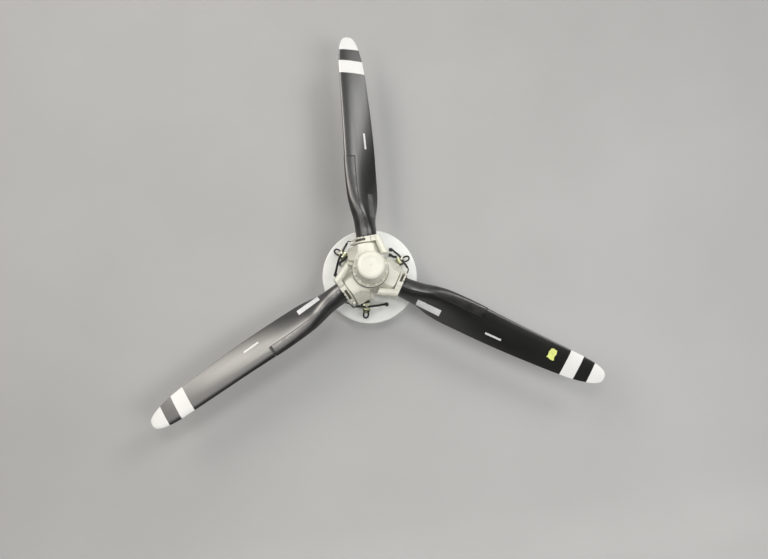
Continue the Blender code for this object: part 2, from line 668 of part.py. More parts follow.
def make_block(index, look):
    low = BULKHEAD_FRONT + BRACKET_SHEET + 2 * FIT_GAP
    bm = bmesh.new()
    size = Matrix.Diagonal((BLOCK_OUTER - BLOCK_INNER, BLOCK_WIDTH, BLOCK_TOP - low, 1))
    middle = Matrix.Translation(((BLOCK_OUTER + BLOCK_INNER) / 2, 0, (BLOCK_TOP + low) / 2))
    bmesh.ops.create_cube(bm, size=1, matrix=middle @ size)
    bmesh.ops.bevel(bm, geom=bm.edges[:], offset=BLOCK_EDGE, segments=1, affect="EDGES")
    add_object(f"terminal_block_{index + 1}", bm, look, place=sector_frame(index))


# Leads
def smooth_route(points, per_leg):
    """Points along a smooth curve through hand-chosen ones."""
    route = []
    for k in range(len(points) - 1):
        a = points[max(k - 1, 0)]
        b = points[k]
        c = points[k + 1]
        d = points[min(k + 2, len(points) - 1)]
        for step in range(per_leg):
            t = step / per_leg
            route.append(0.5 * (2 * b + (c - a) * t + (2 * a - 5 * b + 4 * c - d) * t * t
                                + (3 * b - a - 3 * c + d) * t ** 3))
    route.append(points[-1])
    return route


def make_tube(name, points, radius, look):
    curve = bpy.data.curves.new(name, "CURVE")
    curve.dimensions = "3D"
    curve.bevel_depth = radius
    curve.bevel_resolution = 2
    curve.use_fill_caps = True
    spline = curve.splines.new("POLY")
    spline.points.add(len(points) - 1)
    for target, point in zip(spline.points, points):
        target.co = (*point, 1.0)
    curve.materials.append(look)
    bpy.context.scene.collection.objects.link(bpy.data.objects.new(name, curve))


def route_points(index, route):
    turn = blade_turn(index)
    return [on_shaft(turn - math.radians(angle), radius, station) for angle, radius, station in route]


def lead_points(index):
    """The lead's own route: the common one, swept round and shifted for this blade."""
    fixed = LEAD_ROUTE[LEAD_CLAMP_POINT][0]
    route = []
    for angle, radius, station in LEAD_ROUTE:
        past = max(angle - fixed, 0)
        route.append((angle + past * (LEAD_SWEEPS[index] - 1), radius + LEAD_SHIFTS[index], station))
    return route_points(index, route)


def make_leads(index, look):
    """The lead that feeds the boot, the bonding lead beside it, and the loop at the terminal block."""
    make_tube(f"deice_lead_{index + 1}", smooth_route(lead_points(index), 2), LEAD_RADIUS, look)
    bonding = smooth_route(route_points(index, BONDING_ROUTES[index]), 2)
    make_tube(f"bonding_lead_{index + 1}", bonding, BONDING_RADIUS, look)
    frame = sector_frame(index)
    start = BLOCK_OUTER + 2 * FIT_GAP
    loop = [frame @ Vector((start + out, side, LOOP_STATION + lift)) for side, out, lift in LOOP_ROUTE]
    make_tube(f"terminal_loop_{index + 1}", smooth_route(loop, 2), LOOP_RADIUS, look)


def make_lead_clamp(index, look):
    """The band that holds the lead on the bracket's tab."""
    points = lead_points(index)
    along = (points[LEAD_CLAMP_POINT + 1] - points[LEAD_CLAMP_POINT - 1]).normalized()
    bore = LEAD_RADIUS + LEAD_CLAMP_SLACK
    half = LEAD_CLAMP_WIDTH / 2
    shape = [(bore, -half), (bore + LEAD_CLAMP_WALL, -half), (bore + LEAD_CLAMP_WALL, half), (bore, half)]
    facing = along.to_track_quat("Z", "Y").to_matrix().to_4x4()
    place = Matrix.Translation(points[LEAD_CLAMP_POINT]) @ facing
    add_object(f"lead_clamp_{index + 1}", turned(shape, 16, ring=True), look, place=place)


def make_grommet(index, look):
    """The grommet where the lead goes through the bulkhead."""
    end = lead_points(index)[-1]
    base = BULKHEAD_FRONT + FIT_GAP
    shape = [(0, base), (GROMMET_RADIUS, base), (GROMMET_RADIUS - GROMMET_EDGE, base + GROMMET_HEIGHT),
             (0, base + GROMMET_HEIGHT)]
    place = Matrix.Translation((end.x, 0, end.z)) @ SHAFT_TO_WORLD
    add_object(f"lead_grommet_{index + 1}", turned(shape, 16), look, place=place)


def main():
    clear_scene()
    looks = make_looks()
    make_hub(looks["cream"])
    make_studs(looks["steel"])
    make_seal(looks["resin"])
    make_cylinder(looks["cream"])
    make_plug(looks["cream"])
    make_bulkhead(looks["white"])
    make_slip_ring(looks["resin"], looks["copper"])
    for index in range(BLADE_COUNT):
        axis = bpy.data.objects.new(f"pitch_axis_{index + 1}", None)
        bpy.context.scene.collection.objects.link(axis)
        axis.matrix_world = blade_frame(index)
        make_blade(index, axis, looks["black"])
        make_boot(index, axis, looks["rubber"])
        make_clamp(index, axis, looks["cream"])
        make_bracket(index, looks["chromate"])
        make_block(index, looks["resin"])
        make_leads(index, looks["rubber"])
        make_lead_clamp(index, looks["steel"])
        make_grommet(index, looks["resin"])
    bpy.context.view_layer.update()


main()
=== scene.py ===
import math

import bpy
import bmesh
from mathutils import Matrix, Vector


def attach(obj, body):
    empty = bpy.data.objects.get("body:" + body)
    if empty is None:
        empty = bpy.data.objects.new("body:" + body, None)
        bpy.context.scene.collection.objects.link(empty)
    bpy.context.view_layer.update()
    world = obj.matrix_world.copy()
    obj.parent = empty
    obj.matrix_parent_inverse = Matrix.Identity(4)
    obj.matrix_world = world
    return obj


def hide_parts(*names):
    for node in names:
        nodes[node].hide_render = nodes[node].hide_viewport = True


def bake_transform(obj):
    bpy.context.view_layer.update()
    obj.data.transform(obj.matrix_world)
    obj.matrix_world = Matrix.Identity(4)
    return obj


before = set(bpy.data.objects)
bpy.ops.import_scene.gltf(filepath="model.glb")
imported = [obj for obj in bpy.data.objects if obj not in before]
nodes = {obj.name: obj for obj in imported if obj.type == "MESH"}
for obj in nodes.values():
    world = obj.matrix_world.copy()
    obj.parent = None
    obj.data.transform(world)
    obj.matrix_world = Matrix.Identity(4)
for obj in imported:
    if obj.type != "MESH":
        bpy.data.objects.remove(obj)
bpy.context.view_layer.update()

# %% [markdown]
# # A three-blade aircraft propeller
# The propeller hangs with its hub towards the camera: black twisted blades with white tips, a cream hub
# with a pitch cylinder in front, and a white bulkhead behind it. The loaded frame already holds every
# solid in its real place. This lesson dresses it: each piece gets its real edges and its real finish.
# The shaft lies along Y and the front faces -Y. A "station" is a distance forward of the rear flange, and
# a "span" is a distance out from the shaft.

# %% [markdown]
# ## The camera
# The view is slightly from below and from the left, as somebody sees a propeller that hangs above eye
# height. The place and the direction are kept as two vectors, and the camera's own axes follow from them.

# %% The camera
EYE = Vector((-0.073, -2.350, -0.364))
SIGHT = Vector((0.054, 0.988, 0.146))
UPWARD = Vector((0.092, -0.151, 0.984))


def make_camera():
    data = bpy.data.cameras.new("camera")
    data.sensor_width = 36
    data.lens = 28.125
    camera = bpy.data.objects.new("camera", data)
    bpy.context.scene.collection.objects.link(camera)
    back = -SIGHT.normalized()
    side = UPWARD.cross(back).normalized()
    turn = Matrix((side, back.cross(side), back)).transposed().to_4x4()
    camera.matrix_world = Matrix.Translation(EYE) @ turn
    bpy.context.scene.camera = camera
    return camera


camera = make_camera()
print("camera at", [round(value, 3) for value in camera.location])

# %% [markdown]
# ## Shaping helpers
# Most of a propeller is turned, lofted or bent sheet. Four short functions make those forms: one links a
# mesh into the scene, one spins a profile, one pulls an outline out, and one joins rings of points.

# %% Turn a bmesh into a piece
def make_piece(name, bm, finish, place=None, sharp=35):
    bmesh.ops.recalc_face_normals(bm, faces=bm.faces)
    mesh = bpy.data.meshes.new(name)
    bm.to_mesh(mesh)
    bm.free()
    if place is not None:
        mesh.transform(place)
    mesh.shade_smooth()
    mesh.set_sharp_from_angle(angle=math.radians(sharp))
    mesh.materials.append(finish)
    piece = bpy.data.objects.new(name, mesh)
    bpy.context.scene.collection.objects.link(piece)
    return piece


# %% Spin a profile of radius and height about local Z
def turned(profile, sides, closed=False):
    bm = bmesh.new()
    points = [bm.verts.new((radius, 0, height)) for radius, height in profile]
    edges = [bm.edges.new(pair) for pair in zip(points, points[1:])]
    if closed:
        edges.append(bm.edges.new((points[-1], points[0])))
    bmesh.ops.spin(bm, geom=points + edges, axis=(0, 0, 1), cent=(0, 0, 0), angle=math.tau, steps=sides,
                   use_merge=True)
    bmesh.ops.remove_doubles(bm, verts=bm.verts, dist=0.000001)
    return bm


# %% Pull a flat outline out along local Z
def pulled(outline, low, high):
    bm = bmesh.new()
    face = bm.faces.new([bm.verts.new((x, y, low)) for x, y in outline])
    moved = bmesh.ops.extrude_face_region(bm, geom=[face])["geom"]
    rising = [item for item in moved if isinstance(item, bmesh.types.BMVert)]
    bmesh.ops.translate(bm, vec=(0, 0, high - low), verts=rising)
    return bm


# %% Join rings of points into a closed skin
def lofted(rings):
    bm = bmesh.new()
    loops = [[bm.verts.new(point) for point in ring] for ring in rings]
    count = len(loops[0])
    for near, far in zip(loops, loops[1:]):
        for k in range(count):
            bm.faces.new((near[k], near[(k + 1) % count], far[(k + 1) % count], far[k]))
    bm.faces.new(loops[0])
    bm.faces.new(loops[-1])
    return bm


# %% Round a corner of a profile
def corner(before, point, after, size, steps=4):
    """Points of an arc-like curve that replaces a corner, starting and ending a distance away from it."""
    a = point + (before - point).normalized() * size
    b = point + (after - point).normalized() * size
    arc = []
    for step in range(steps + 1):
        t = step / steps
        arc.append(a * (1 - t) ** 2 + point * 2 * t * (1 - t) + b * t * t)
    return arc


def rounded(outline, sizes, closed=True):
    """An outline with each corner rounded by its own size; size 0 keeps a corner sharp."""
    points = [Vector(point) for point in outline]
    result = []
    for k, (point, size) in enumerate(zip(points, sizes)):
        if size == 0 or (not closed and k in (0, len(points) - 1)):
            result.append(point)
        else:
            result += corner(points[k - 1], point, points[(k + 1) % len(points)], size)
    return [tuple(point) for point in result]


# %% [markdown]
# ## Places on the propeller
# Three frames place nearly everything: one for the shaft, one for each blade's pitch axis, and one for the
# bracket that stands between each blade and the next. They say where a piece sits, and the piece itself is
# drawn in plain local coordinates.

# %% The frames
BLADES = 3
BLADE_STATION = 0.100
BRACKET_ANGLE = math.radians(-49)
SHAFT = Matrix.Rotation(math.radians(90), 4, "X")


def blade_turn(index):
    return math.tau * index / BLADES


def on_shaft(angle, radius, station):
    return Vector((radius * math.sin(angle), -station, radius * math.cos(angle)))


def blade_frame(index):
    """Local Z runs out along the blade, local X towards its trailing side, and local Y to the rear."""
    return Matrix.Translation((0, -BLADE_STATION, 0)) @ Matrix.Rotation(blade_turn(index), 4, "Y")


def bracket_frame(index):
    """Local X runs outward, local Y along the turn, and local Z forward from the flange."""
    outward = on_shaft(blade_turn(index) + BRACKET_ANGLE, 1, 0)
    forward = Vector((0, -1, 0))
    return Matrix((outward, forward.cross(outward), forward)).transposed().to_4x4()


print("blade frames at", [round(math.degrees(blade_turn(k))) for k in range(BLADES)], "degrees")

# %% [markdown]
# ## Finishes
# Paint, rubber and plated metal all vary a little over a surface. Each finish below starts from the
# Principled shader: what is the same all over sits on the shader's own sockets, and noise drives the
# colour, the roughness and a fine bump. The noise reads object coordinates, so it stays with the piece.

# %% Helpers for the node trees
def start_finish(name, **fixed):
    """A new material, with fixed values on the shader's own sockets."""
    material = bpy.data.materials.new(name)
    material.use_nodes = True
    tree = material.node_tree
    shader = tree.nodes["Principled BSDF"]
    for socket, value in fixed.items():
        shader.inputs[socket.replace("_", " ")].default_value = value
    return material, tree, shader


def grain(tree, scale, draw=1, turn=0, detail=4, roughness=0.55):
    """Noise in object coordinates, drawn out along a direction that is turned from Z about the shaft."""
    place = tree.nodes.new("ShaderNodeTexCoord")
    mapping = tree.nodes.new("ShaderNodeMapping")
    mapping.vector_type = "TEXTURE"
    mapping.inputs["Rotation"].default_value = (0, turn, 0)
    mapping.inputs["Scale"].default_value = (1, 1, draw)
    noise = tree.nodes.new("ShaderNodeTexNoise")
    noise.inputs["Scale"].default_value = scale
    noise.inputs["Detail"].default_value = detail
    noise.inputs["Roughness"].default_value = roughness
    tree.links.new(place.outputs["Object"], mapping.inputs["Vector"])
    tree.links.new(mapping.outputs["Vector"], noise.inputs["Vector"])
    return noise.outputs["Fac"]


def spread(tree, value, low, high, start, end):
    """Maps the range low..high of a value onto start..end."""
    node = tree.nodes.new("ShaderNodeMapRange")
    for socket, number in zip(("From Min", "From Max", "To Min", "To Max"), (low, high, start, end)):
        node.inputs[socket].default_value = number
    tree.links.new(value, node.inputs["Value"])
    return node.outputs["Result"]


def mixed(tree, amount, first, second):
    """A colour between two others. Either may be three numbers or another node's colour."""
    node = tree.nodes.new("ShaderNodeMix")
    node.data_type = "RGBA"
    tree.links.new(amount, node.inputs[0])
    for socket, colour in ((node.inputs[6], first), (node.inputs[7], second)):
        if isinstance(colour, tuple):
            socket.default_value = (*colour, 1)
        else:
            tree.links.new(colour, socket)
    return node.outputs[2]


def relief(tree, shader, height, depth, strength=1.0):
    node = tree.nodes.new("ShaderNodeBump")
    node.inputs["Distance"].default_value = depth
    node.inputs["Strength"].default_value = strength
    tree.links.new(height, node.inputs["Height"])
    tree.links.new(node.outputs["Normal"], shader.inputs["Normal"])


# %% [markdown]
# ### Hub enamel
# The hub, the cylinder and the clamps carry a thick cream enamel over rough forgings. It is cloudy rather
# than even and has a fine orange peel, and its inner corners are darkened with painted shade. The mesh's
# own pointiness, which is dark in a hollow and light on an edge, finds those corners without any painting
# by hand. The clamps' painted shade is nearly black, so their windows and notches look deep.

# %% Enamel
def enamel(name, clean, cloudy, dirt_and_shade, rough, hollow_shade=0.55):
    material, tree, shader = start_finish(name, Specular_IOR_Level=0.45, Coat_Weight=0.12,
                                          Coat_Roughness=0.25)
    clouds = spread(tree, grain(tree, 26), 0.38, 0.66, 0, 1)
    colour = mixed(tree, clouds, clean, cloudy)
    shape = tree.nodes.new("ShaderNodeNewGeometry")
    # Painted shade: the colour is darkened in the hollows, where shade falls; the fine specks below are
    # dirt.
    hollow = spread(tree, shape.outputs["Pointiness"], 0.498, 0.462, 0, hollow_shade)
    colour = mixed(tree, hollow, colour, dirt_and_shade)
    specks = spread(tree, grain(tree, 420, detail=2), 0.70, 0.78, 0, 0.35)
    colour = mixed(tree, specks, colour, dirt_and_shade)
    tree.links.new(colour, shader.inputs["Base Color"])
    tree.links.new(spread(tree, grain(tree, 60), 0.3, 0.7, rough - 0.06, rough + 0.10),
                   shader.inputs["Roughness"])
    relief(tree, shader, grain(tree, 700, detail=2), 0.0002, 0.35)
    return material


cream = enamel("cream_enamel", (0.72, 0.71, 0.62), (0.66, 0.65, 0.56), (0.30, 0.29, 0.22), 0.42)
# The clamps get near-black painted shade in their hollows, so their windows and notches look deep.
clamp_cream = enamel("clamp_enamel", (0.72, 0.71, 0.62), (0.64, 0.63, 0.54), (0.085, 0.080, 0.060), 0.42,
                     hollow_shade=0.95)
dusty_cream = enamel("dusty_enamel", (0.54, 0.53, 0.44), (0.46, 0.45, 0.37), (0.20, 0.19, 0.15), 0.50)
white = enamel("white_enamel", (0.84, 0.85, 0.82), (0.80, 0.81, 0.78), (0.48, 0.47, 0.42), 0.40)
print("enamels:", cream.name, clamp_cream.name, dusty_cream.name, white.name)

# %% [markdown]
# ### Blade paint
# The blades are satin black, a little chalky from weather, with rubbed streaks along the span. The streaks
# come from noise that is drawn out along the blade, and they change the gloss more than the colour. The
# white of the tips is the same kind of paint.

# %% Blade paint
def blade_paint(name, deep, dusty, rough, gloss=0.5, turn=0):
    material, tree, shader = start_finish(name, Specular_IOR_Level=gloss)
    clouds = spread(tree, grain(tree, 9, draw=3, turn=turn), 0.35, 0.70, 0, 1)
    colour = mixed(tree, clouds, deep, dusty)
    specks = spread(tree, grain(tree, 620, detail=2), 0.72, 0.80, 0, 0.30)
    colour = mixed(tree, specks, colour, tuple(min(value * 3 + 0.02, 0.9) for value in dusty))
    tree.links.new(colour, shader.inputs["Base Color"])
    streaks = grain(tree, 38, draw=10, turn=turn, detail=6)
    tree.links.new(spread(tree, streaks, 0.3, 0.75, rough - 0.03, rough + 0.06), shader.inputs["Roughness"])
    relief(tree, shader, grain(tree, 900, detail=2), 0.0001, 0.3)
    return material


blacks = [blade_paint(f"black_blade_paint_{index + 1}", (0.006, 0.006, 0.005), (0.012, 0.012, 0.011), 0.33,
                      gloss=1.0, turn=math.tau * index / 3) for index in range(3)]
tip_white = blade_paint("white_tip_paint", (0.78, 0.78, 0.76), (0.73, 0.73, 0.70), 0.42)
mark_white = blade_paint("white_mark_paint", (0.70, 0.70, 0.68), (0.58, 0.58, 0.56), 0.45)
print("blade paints:", [black.name for black in blacks], tip_white.name, mark_white.name)

# %% [markdown]
# ### Rubber, sleeving and moulded resin
# The boots and the leads are black too. The boots are wiped with a shining dressing, so they mirror nearly
# as much as the paint, while the sleeving and the resin are duller. A fine grain in the bump and a wider
# change of gloss tell them all apart from paint.

# %% Rubber and resin
def dull_black(name, deep, worn, rough, scale, depth, gloss=0.4):
    material, tree, shader = start_finish(name, Specular_IOR_Level=gloss)
    colour = mixed(tree, spread(tree, grain(tree, scale * 0.1), 0.35, 0.70, 0, 1), deep, worn)
    tree.links.new(colour, shader.inputs["Base Color"])
    tree.links.new(spread(tree, grain(tree, scale * 0.2), 0.3, 0.7, rough - 0.08, rough + 0.10),
                   shader.inputs["Roughness"])
    relief(tree, shader, grain(tree, scale, detail=3), depth, 0.4)
    return material


boot_rubber = dull_black("boot_rubber", (0.010, 0.010, 0.010), (0.022, 0.021, 0.020), 0.36, 300, 0.0001,
                         gloss=0.9)
sleeving = dull_black("lead_sleeving", (0.012, 0.012, 0.012), (0.026, 0.025, 0.023), 0.48, 500, 0.0002)
# This brownish black paints the shade inside the clamps' windows and notches.
painted_shade = dull_black("painted_clamp_shade", (0.055, 0.052, 0.042), (0.110, 0.104, 0.085), 0.40, 300, 0.0002)
resin = dull_black("moulded_resin", (0.016, 0.016, 0.017), (0.030, 0.030, 0.030), 0.46, 400, 0.0001)
print("dull blacks:", boot_rubber.name, sleeving.name, painted_shade.name, resin.name)

# %% [markdown]
# ### Plated and bare metal
# Brackets are plated yellow-green, screws and studs are grey cadmium, and the slip ring's tracks are turned
# copper. They share one recipe, with different colours and strengths of mottling.

# %% Metals
def metal(name, bright, stained, rough, scale=60, metallic=1.0):
    material, tree, shader = start_finish(name, Metallic=metallic)
    colour = mixed(tree, spread(tree, grain(tree, scale), 0.40, 0.68, 0, 1), bright, stained)
    tree.links.new(colour, shader.inputs["Base Color"])
    tree.links.new(spread(tree, grain(tree, scale * 4), 0.3, 0.7, rough - 0.08, rough + 0.10),
                   shader.inputs["Roughness"])
    relief(tree, shader, grain(tree, scale * 10, detail=2), 0.0001, 0.3)
    return material


chromate = metal("yellow_chromate", (0.66, 0.68, 0.40), (0.52, 0.54, 0.34), 0.42, metallic=0.55)
plated = metal("cadmium_plating", (0.58, 0.58, 0.56), (0.42, 0.41, 0.38), 0.36)
copper = metal("slip_ring_copper", (0.78, 0.42, 0.27), (0.55, 0.30, 0.20), 0.30)
print("metals:", chromate.name, plated.name, copper.name)

# %% [markdown]
# ### Blank labels
# Three pale labels, left without any words, sit on the blades' roots, and a yellow-green service sticker
# with torn edges sits near the tip of the right blade. Paper is matt, and its surface waves slightly.

# %% Papers
def paper(name, clean, stained, rough):
    material, tree, shader = start_finish(name, Specular_IOR_Level=0.3)
    colour = mixed(tree, spread(tree, grain(tree, 70), 0.38, 0.68, 0, 1), clean, stained)
    tree.links.new(colour, shader.inputs["Base Color"])
    tree.links.new(spread(tree, grain(tree, 90), 0.3, 0.7, rough - 0.08, rough + 0.08),
                   shader.inputs["Roughness"])
    relief(tree, shader, grain(tree, 160), 0.0004, 0.5)
    return material


label_white = paper("label_white", (0.82, 0.83, 0.83), (0.72, 0.73, 0.73), 0.55)
label_grey = paper("label_grey", (0.12, 0.12, 0.12), (0.085, 0.085, 0.085), 0.45)
sticker_yellow = paper("sticker_yellow", (0.74, 0.80, 0.24), (0.62, 0.66, 0.22), 0.60)
print("papers:", label_white.name, label_grey.name, sticker_yellow.name)

# %% [markdown]
# ## The blades
# A propeller blade starts as a round shank, turns into an airfoil within a hand's breadth, and twists all
# the way to its rounded tip. The CAD solid has few facets, so the visible blade is lofted again from the
# same rows, with three times the sides and a section every few millimetres.

# %% The blade's own measures
TIP_SPAN = 0.9649
SHANK_RADIUS = 0.0385
ROOT_FLANGE_RADIUS = 0.0438
ROOT_START_SPAN = 0.0600
ROOT_FLANGE_END_SPAN = 0.0872
ROOT_CHAMFER = 0.0008
SHANK_END_SPAN = 0.150
AIRFOIL_START_SPAN = 0.270
TIP_START_SPAN = 0.840
TIP_END_SHARE = 0.15
FLAT_BACK = 0.70
EDGE_ROUND = 0.0008
SIDES = 72
SKIN_START_SPAN = 0.120
SKIN_STEP = 0.006
SKIN_STEPS = 120
TIP_STEPS = 26
# Span, leading edge, trailing edge, thickness, pitch angle
BLADE_ROWS = (
    (0.150, 0.0387, 0.0387, 0.0772, 31.0),
    (0.200, 0.0465, 0.0455, 0.0610, 31.0),
    (0.250, 0.0590, 0.0590, 0.0420, 30.0),
    (0.300, 0.0655, 0.0660, 0.0300, 28.0),
    (0.400, 0.0650, 0.0678, 0.0195, 24.5),
    (0.500, 0.0592, 0.0677, 0.0150, 20.5),
    (0.600, 0.0541, 0.0657, 0.0120, 17.5),
    (0.700, 0.0503, 0.0618, 0.0097, 15.0),
    (0.800, 0.0471, 0.0564, 0.0077, 13.0),
    (0.840, 0.0455, 0.0530, 0.0070, 12.4),
    (0.966, 0.0445, 0.0415, 0.0060, 11.0),
)


# %% A smooth curve through one column of the rows
def measure(span, column):
    rows = BLADE_ROWS
    if span <= rows[0][0]:
        return rows[0][column]
    k = next(i for i in range(len(rows) - 1) if span <= rows[i + 1][0])
    start, end = rows[k], rows[k + 1]
    before, after = rows[max(k - 1, 0)], rows[min(k + 2, len(rows) - 1)]
    width = end[0] - start[0]
    slope_start = (end[column] - before[column]) / (end[0] - before[0])
    slope_end = (after[column] - start[column]) / (after[0] - start[0])
    t = (span - start[0]) / width
    return (start[column] * (1 + 2 * t) * (1 - t) ** 2 + end[column] * t * t * (3 - 2 * t)
            + width * (slope_start * t * (1 - t) ** 2 - slope_end * t * t * (1 - t)))


# %% One section of the blade
def ease(t):
    t = min(max(t, 0.0), 1.0)
    return t * t * (3 - 2 * t)


def section_point(span, angle):
    """A point of the section: angle 0 is the leading edge, and 90 degrees the middle of the front."""
    if span <= SHANK_END_SPAN:
        lead = trail = SHANK_RADIUS
        thick, share, round_share = 2 * SHANK_RADIUS, 1.0, 1.0
    else:
        reach = max((span - TIP_START_SPAN) / (TIP_SPAN - TIP_START_SPAN), 0)
        share = max((1 - min(reach, 1) ** 2) ** (1 / 3), TIP_END_SHARE)
        lead, trail, thick = (measure(span, column) * share for column in (1, 2, 3))
        round_share = 1 - ease((span - SHANK_END_SPAN) / (AIRFOIL_START_SPAN - SHANK_END_SPAN))
    pitch = math.radians(measure(span, 4))
    x = (1 - math.cos(angle)) / 2
    half = 5 * thick * (0.2969 * math.sqrt(x) - 0.1260 * x - 0.3516 * x ** 2 + 0.2843 * x ** 3
                        - 0.1036 * x ** 4)
    side = 1 if math.sin(angle) >= 0 else -1
    airfoil = half * (side + FLAT_BACK) + EDGE_ROUND * math.sin(angle) * share
    out = thick / 2 * math.sin(angle) * round_share + airfoil * (1 - round_share)
    across = lead - (lead + trail) * x
    return Vector((-math.cos(pitch) * across + math.sin(pitch) * out,
                   -math.sin(pitch) * across - math.cos(pitch) * out, span))


def section(span, sides=SIDES):
    return [section_point(span, math.tau * k / sides) for k in range(sides)]


# %% The spans where the skin has a section
def blade_spans():
    spans = [SKIN_START_SPAN + SKIN_STEP * k for k in range(SKIN_STEPS)]
    return spans + [TIP_START_SPAN + (TIP_SPAN - TIP_START_SPAN) * math.sin(math.radians(90) * k / TIP_STEPS)
                    for k in range(1, TIP_STEPS + 1)]


def root_ring(radius, span):
    scale = radius / SHANK_RADIUS
    return [Vector((point.x * scale, point.y * scale, span)) for point in section(ROOT_START_SPAN)]


print(len(blade_spans()), "sections a blade")

# %% [markdown]
# ### Painted bands
# The tip is painted: a white band, a narrow black one, and a white end. Paint has no thickness worth
# modelling, but its edge is crisp and runs slightly aslant, because the masking was done by hand. The skin
# is cut along those edges, and the faces beyond each cut take the next paint.

# %% The band edges and the cut
BAND_SPANS = (0.8090, 0.8620, 0.9103)
BAND_SLANTS = ((-0.060, -0.060, -0.025), (-0.020, -0.015, 0.010), (-0.010, -0.030, -0.015))


def cut_bands(bm, slants):
    planes = []
    for span, slant in zip(BAND_SPANS, slants):
        normal = Vector((-slant, 0, 1)).normalized()
        planes.append((Vector((0, 0, span)), normal))
        bmesh.ops.bisect_plane(bm, geom=bm.verts[:] + bm.edges[:] + bm.faces[:], plane_co=(0, 0, span),
                               plane_no=normal, dist=0.000001)
    for face in bm.faces:
        middle = face.calc_center_median()
        beyond = sum((middle - point).dot(normal) > 0 for point, normal in planes)
        face.material_index = beyond % 2


# %% The three blades
def make_blade(index):
    rings = [root_ring(ROOT_FLANGE_RADIUS, ROOT_START_SPAN),
             root_ring(ROOT_FLANGE_RADIUS, ROOT_FLANGE_END_SPAN),
             root_ring(SHANK_RADIUS, ROOT_FLANGE_END_SPAN + ROOT_CHAMFER)]
    rings += [section(span) for span in blade_spans()]
    bm = lofted(rings)
    cut_bands(bm, BAND_SLANTS[index])
    blade = make_piece(f"blade_skin_{index + 1}", bm, blacks[index], blade_frame(index), sharp=50)
    blade.data.materials.append(tip_white)
    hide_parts(f"blade_{index + 1}")
    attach(blade, f"blade_{index + 1}")
    return blade


blades = [make_blade(index) for index in range(BLADES)]
print("blade triangles", [sum(len(face.vertices) - 2 for face in blade.data.polygons) for blade in blades])

# %% [markdown]
# ### De-icing boots
# A rubber sheet with heating wires in it is bonded round the inner half of each leading edge. It is about
# a millimetre and a half thick and thins out at its borders. It follows the blade's section, so it is
# lifted off the same section points along their normals, and its border keeps one distance from the edge.

# %% The boots
BOOT_START_SPAN = 0.134
BOOT_END_SPAN = 0.460
BOOT_WIDTH = 0.0460
BOOT_THICKNESS = 0.0015
BOOT_EDGE = 0.0004
BOOT_GAP = 0.0002
BOOT_BORDER = 0.006


def lifted(span, angle, height):
    """The section's point at an angle, moved off the surface."""
    step = 0.01
    along = section_point(span, angle + step) - section_point(span, angle - step)
    normal = Vector((along.y, -along.x, 0)).normalized()
    return section_point(span, angle) + normal * height


def wrap_angles(span, count):
    """Section angles at even distances along the surface, from the border behind to the one in front."""
    sides = []
    for way in (-1, 1):
        marks, walked, angle = [], 0.0, 0.0
        here = section_point(span, 0)
        while len(marks) < count:
            further = angle + way * math.radians(0.5)
            there = section_point(span, further)
            step = (there - here).length
            while len(marks) < count and walked + step >= BOOT_WIDTH * (len(marks) + 1) / count:
                share = (BOOT_WIDTH * (len(marks) + 1) / count - walked) / step
                marks.append(angle + (further - angle) * share)
            walked, angle, here = walked + step, further, there
        sides.append(marks)
    return sides[0][::-1] + [0.0] + sides[1]


def make_boot(index):
    count = 36
    spans = [BOOT_START_SPAN, BOOT_START_SPAN + 0.001, BOOT_START_SPAN + 0.003]
    spans += [BOOT_START_SPAN + BOOT_BORDER * k for k in range(1, 54)]
    spans += [BOOT_END_SPAN - 0.003, BOOT_END_SPAN - 0.001, BOOT_END_SPAN]
    rings = []
    for span in spans:
        ends = min(span - BOOT_START_SPAN, BOOT_END_SPAN - span) / BOOT_BORDER
        inner, outer = [], []
        for k, angle in enumerate(wrap_angles(span, count)):
            border = (count - abs(k - count)) / count * BOOT_WIDTH / 0.003
            height = BOOT_EDGE + (BOOT_THICKNESS - BOOT_EDGE) * ease(ends * 2) * ease(border)
            inner.append(lifted(span, angle, BOOT_GAP))
            outer.append(lifted(span, angle, BOOT_GAP + height))
        rings.append(inner + outer[::-1])
    boot = make_piece(f"boot_{index + 1}", lofted(rings), boot_rubber, blade_frame(index), sharp=50)
    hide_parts(f"deice_boot_{index + 1}")
    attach(boot, f"blade_{index + 1}")
    return boot


boots = [make_boot(index) for index in range(BLADES)]
print(len(boots), "boots reach from", BOOT_START_SPAN, "to", BOOT_END_SPAN)

# %% [markdown]
# ### Labels, marks and the sticker
# Everything stuck or painted on a blade lies on its curved front, and so do the dark sealant and the small
# chip beside the left boot's outer end. A grid of points is laid on the front of the section, lifted by a
# few tenths of a millimetre, and given a thin border down to the paint. Side is the distance from the pitch
# axis, positive towards the trailing side.

# %% Lay a thin patch on a blade's front
def front_point(span, side, height):
    """The point of the blade's front at a distance from the pitch axis, lifted off the surface."""
    low, high = math.radians(4), math.radians(176)
    for _ in range(26):
        middle = (low + high) / 2
        if section_point(span, middle).x < side:
            low = middle
        else:
            high = middle
    return lifted(span, (low + high) / 2, height)


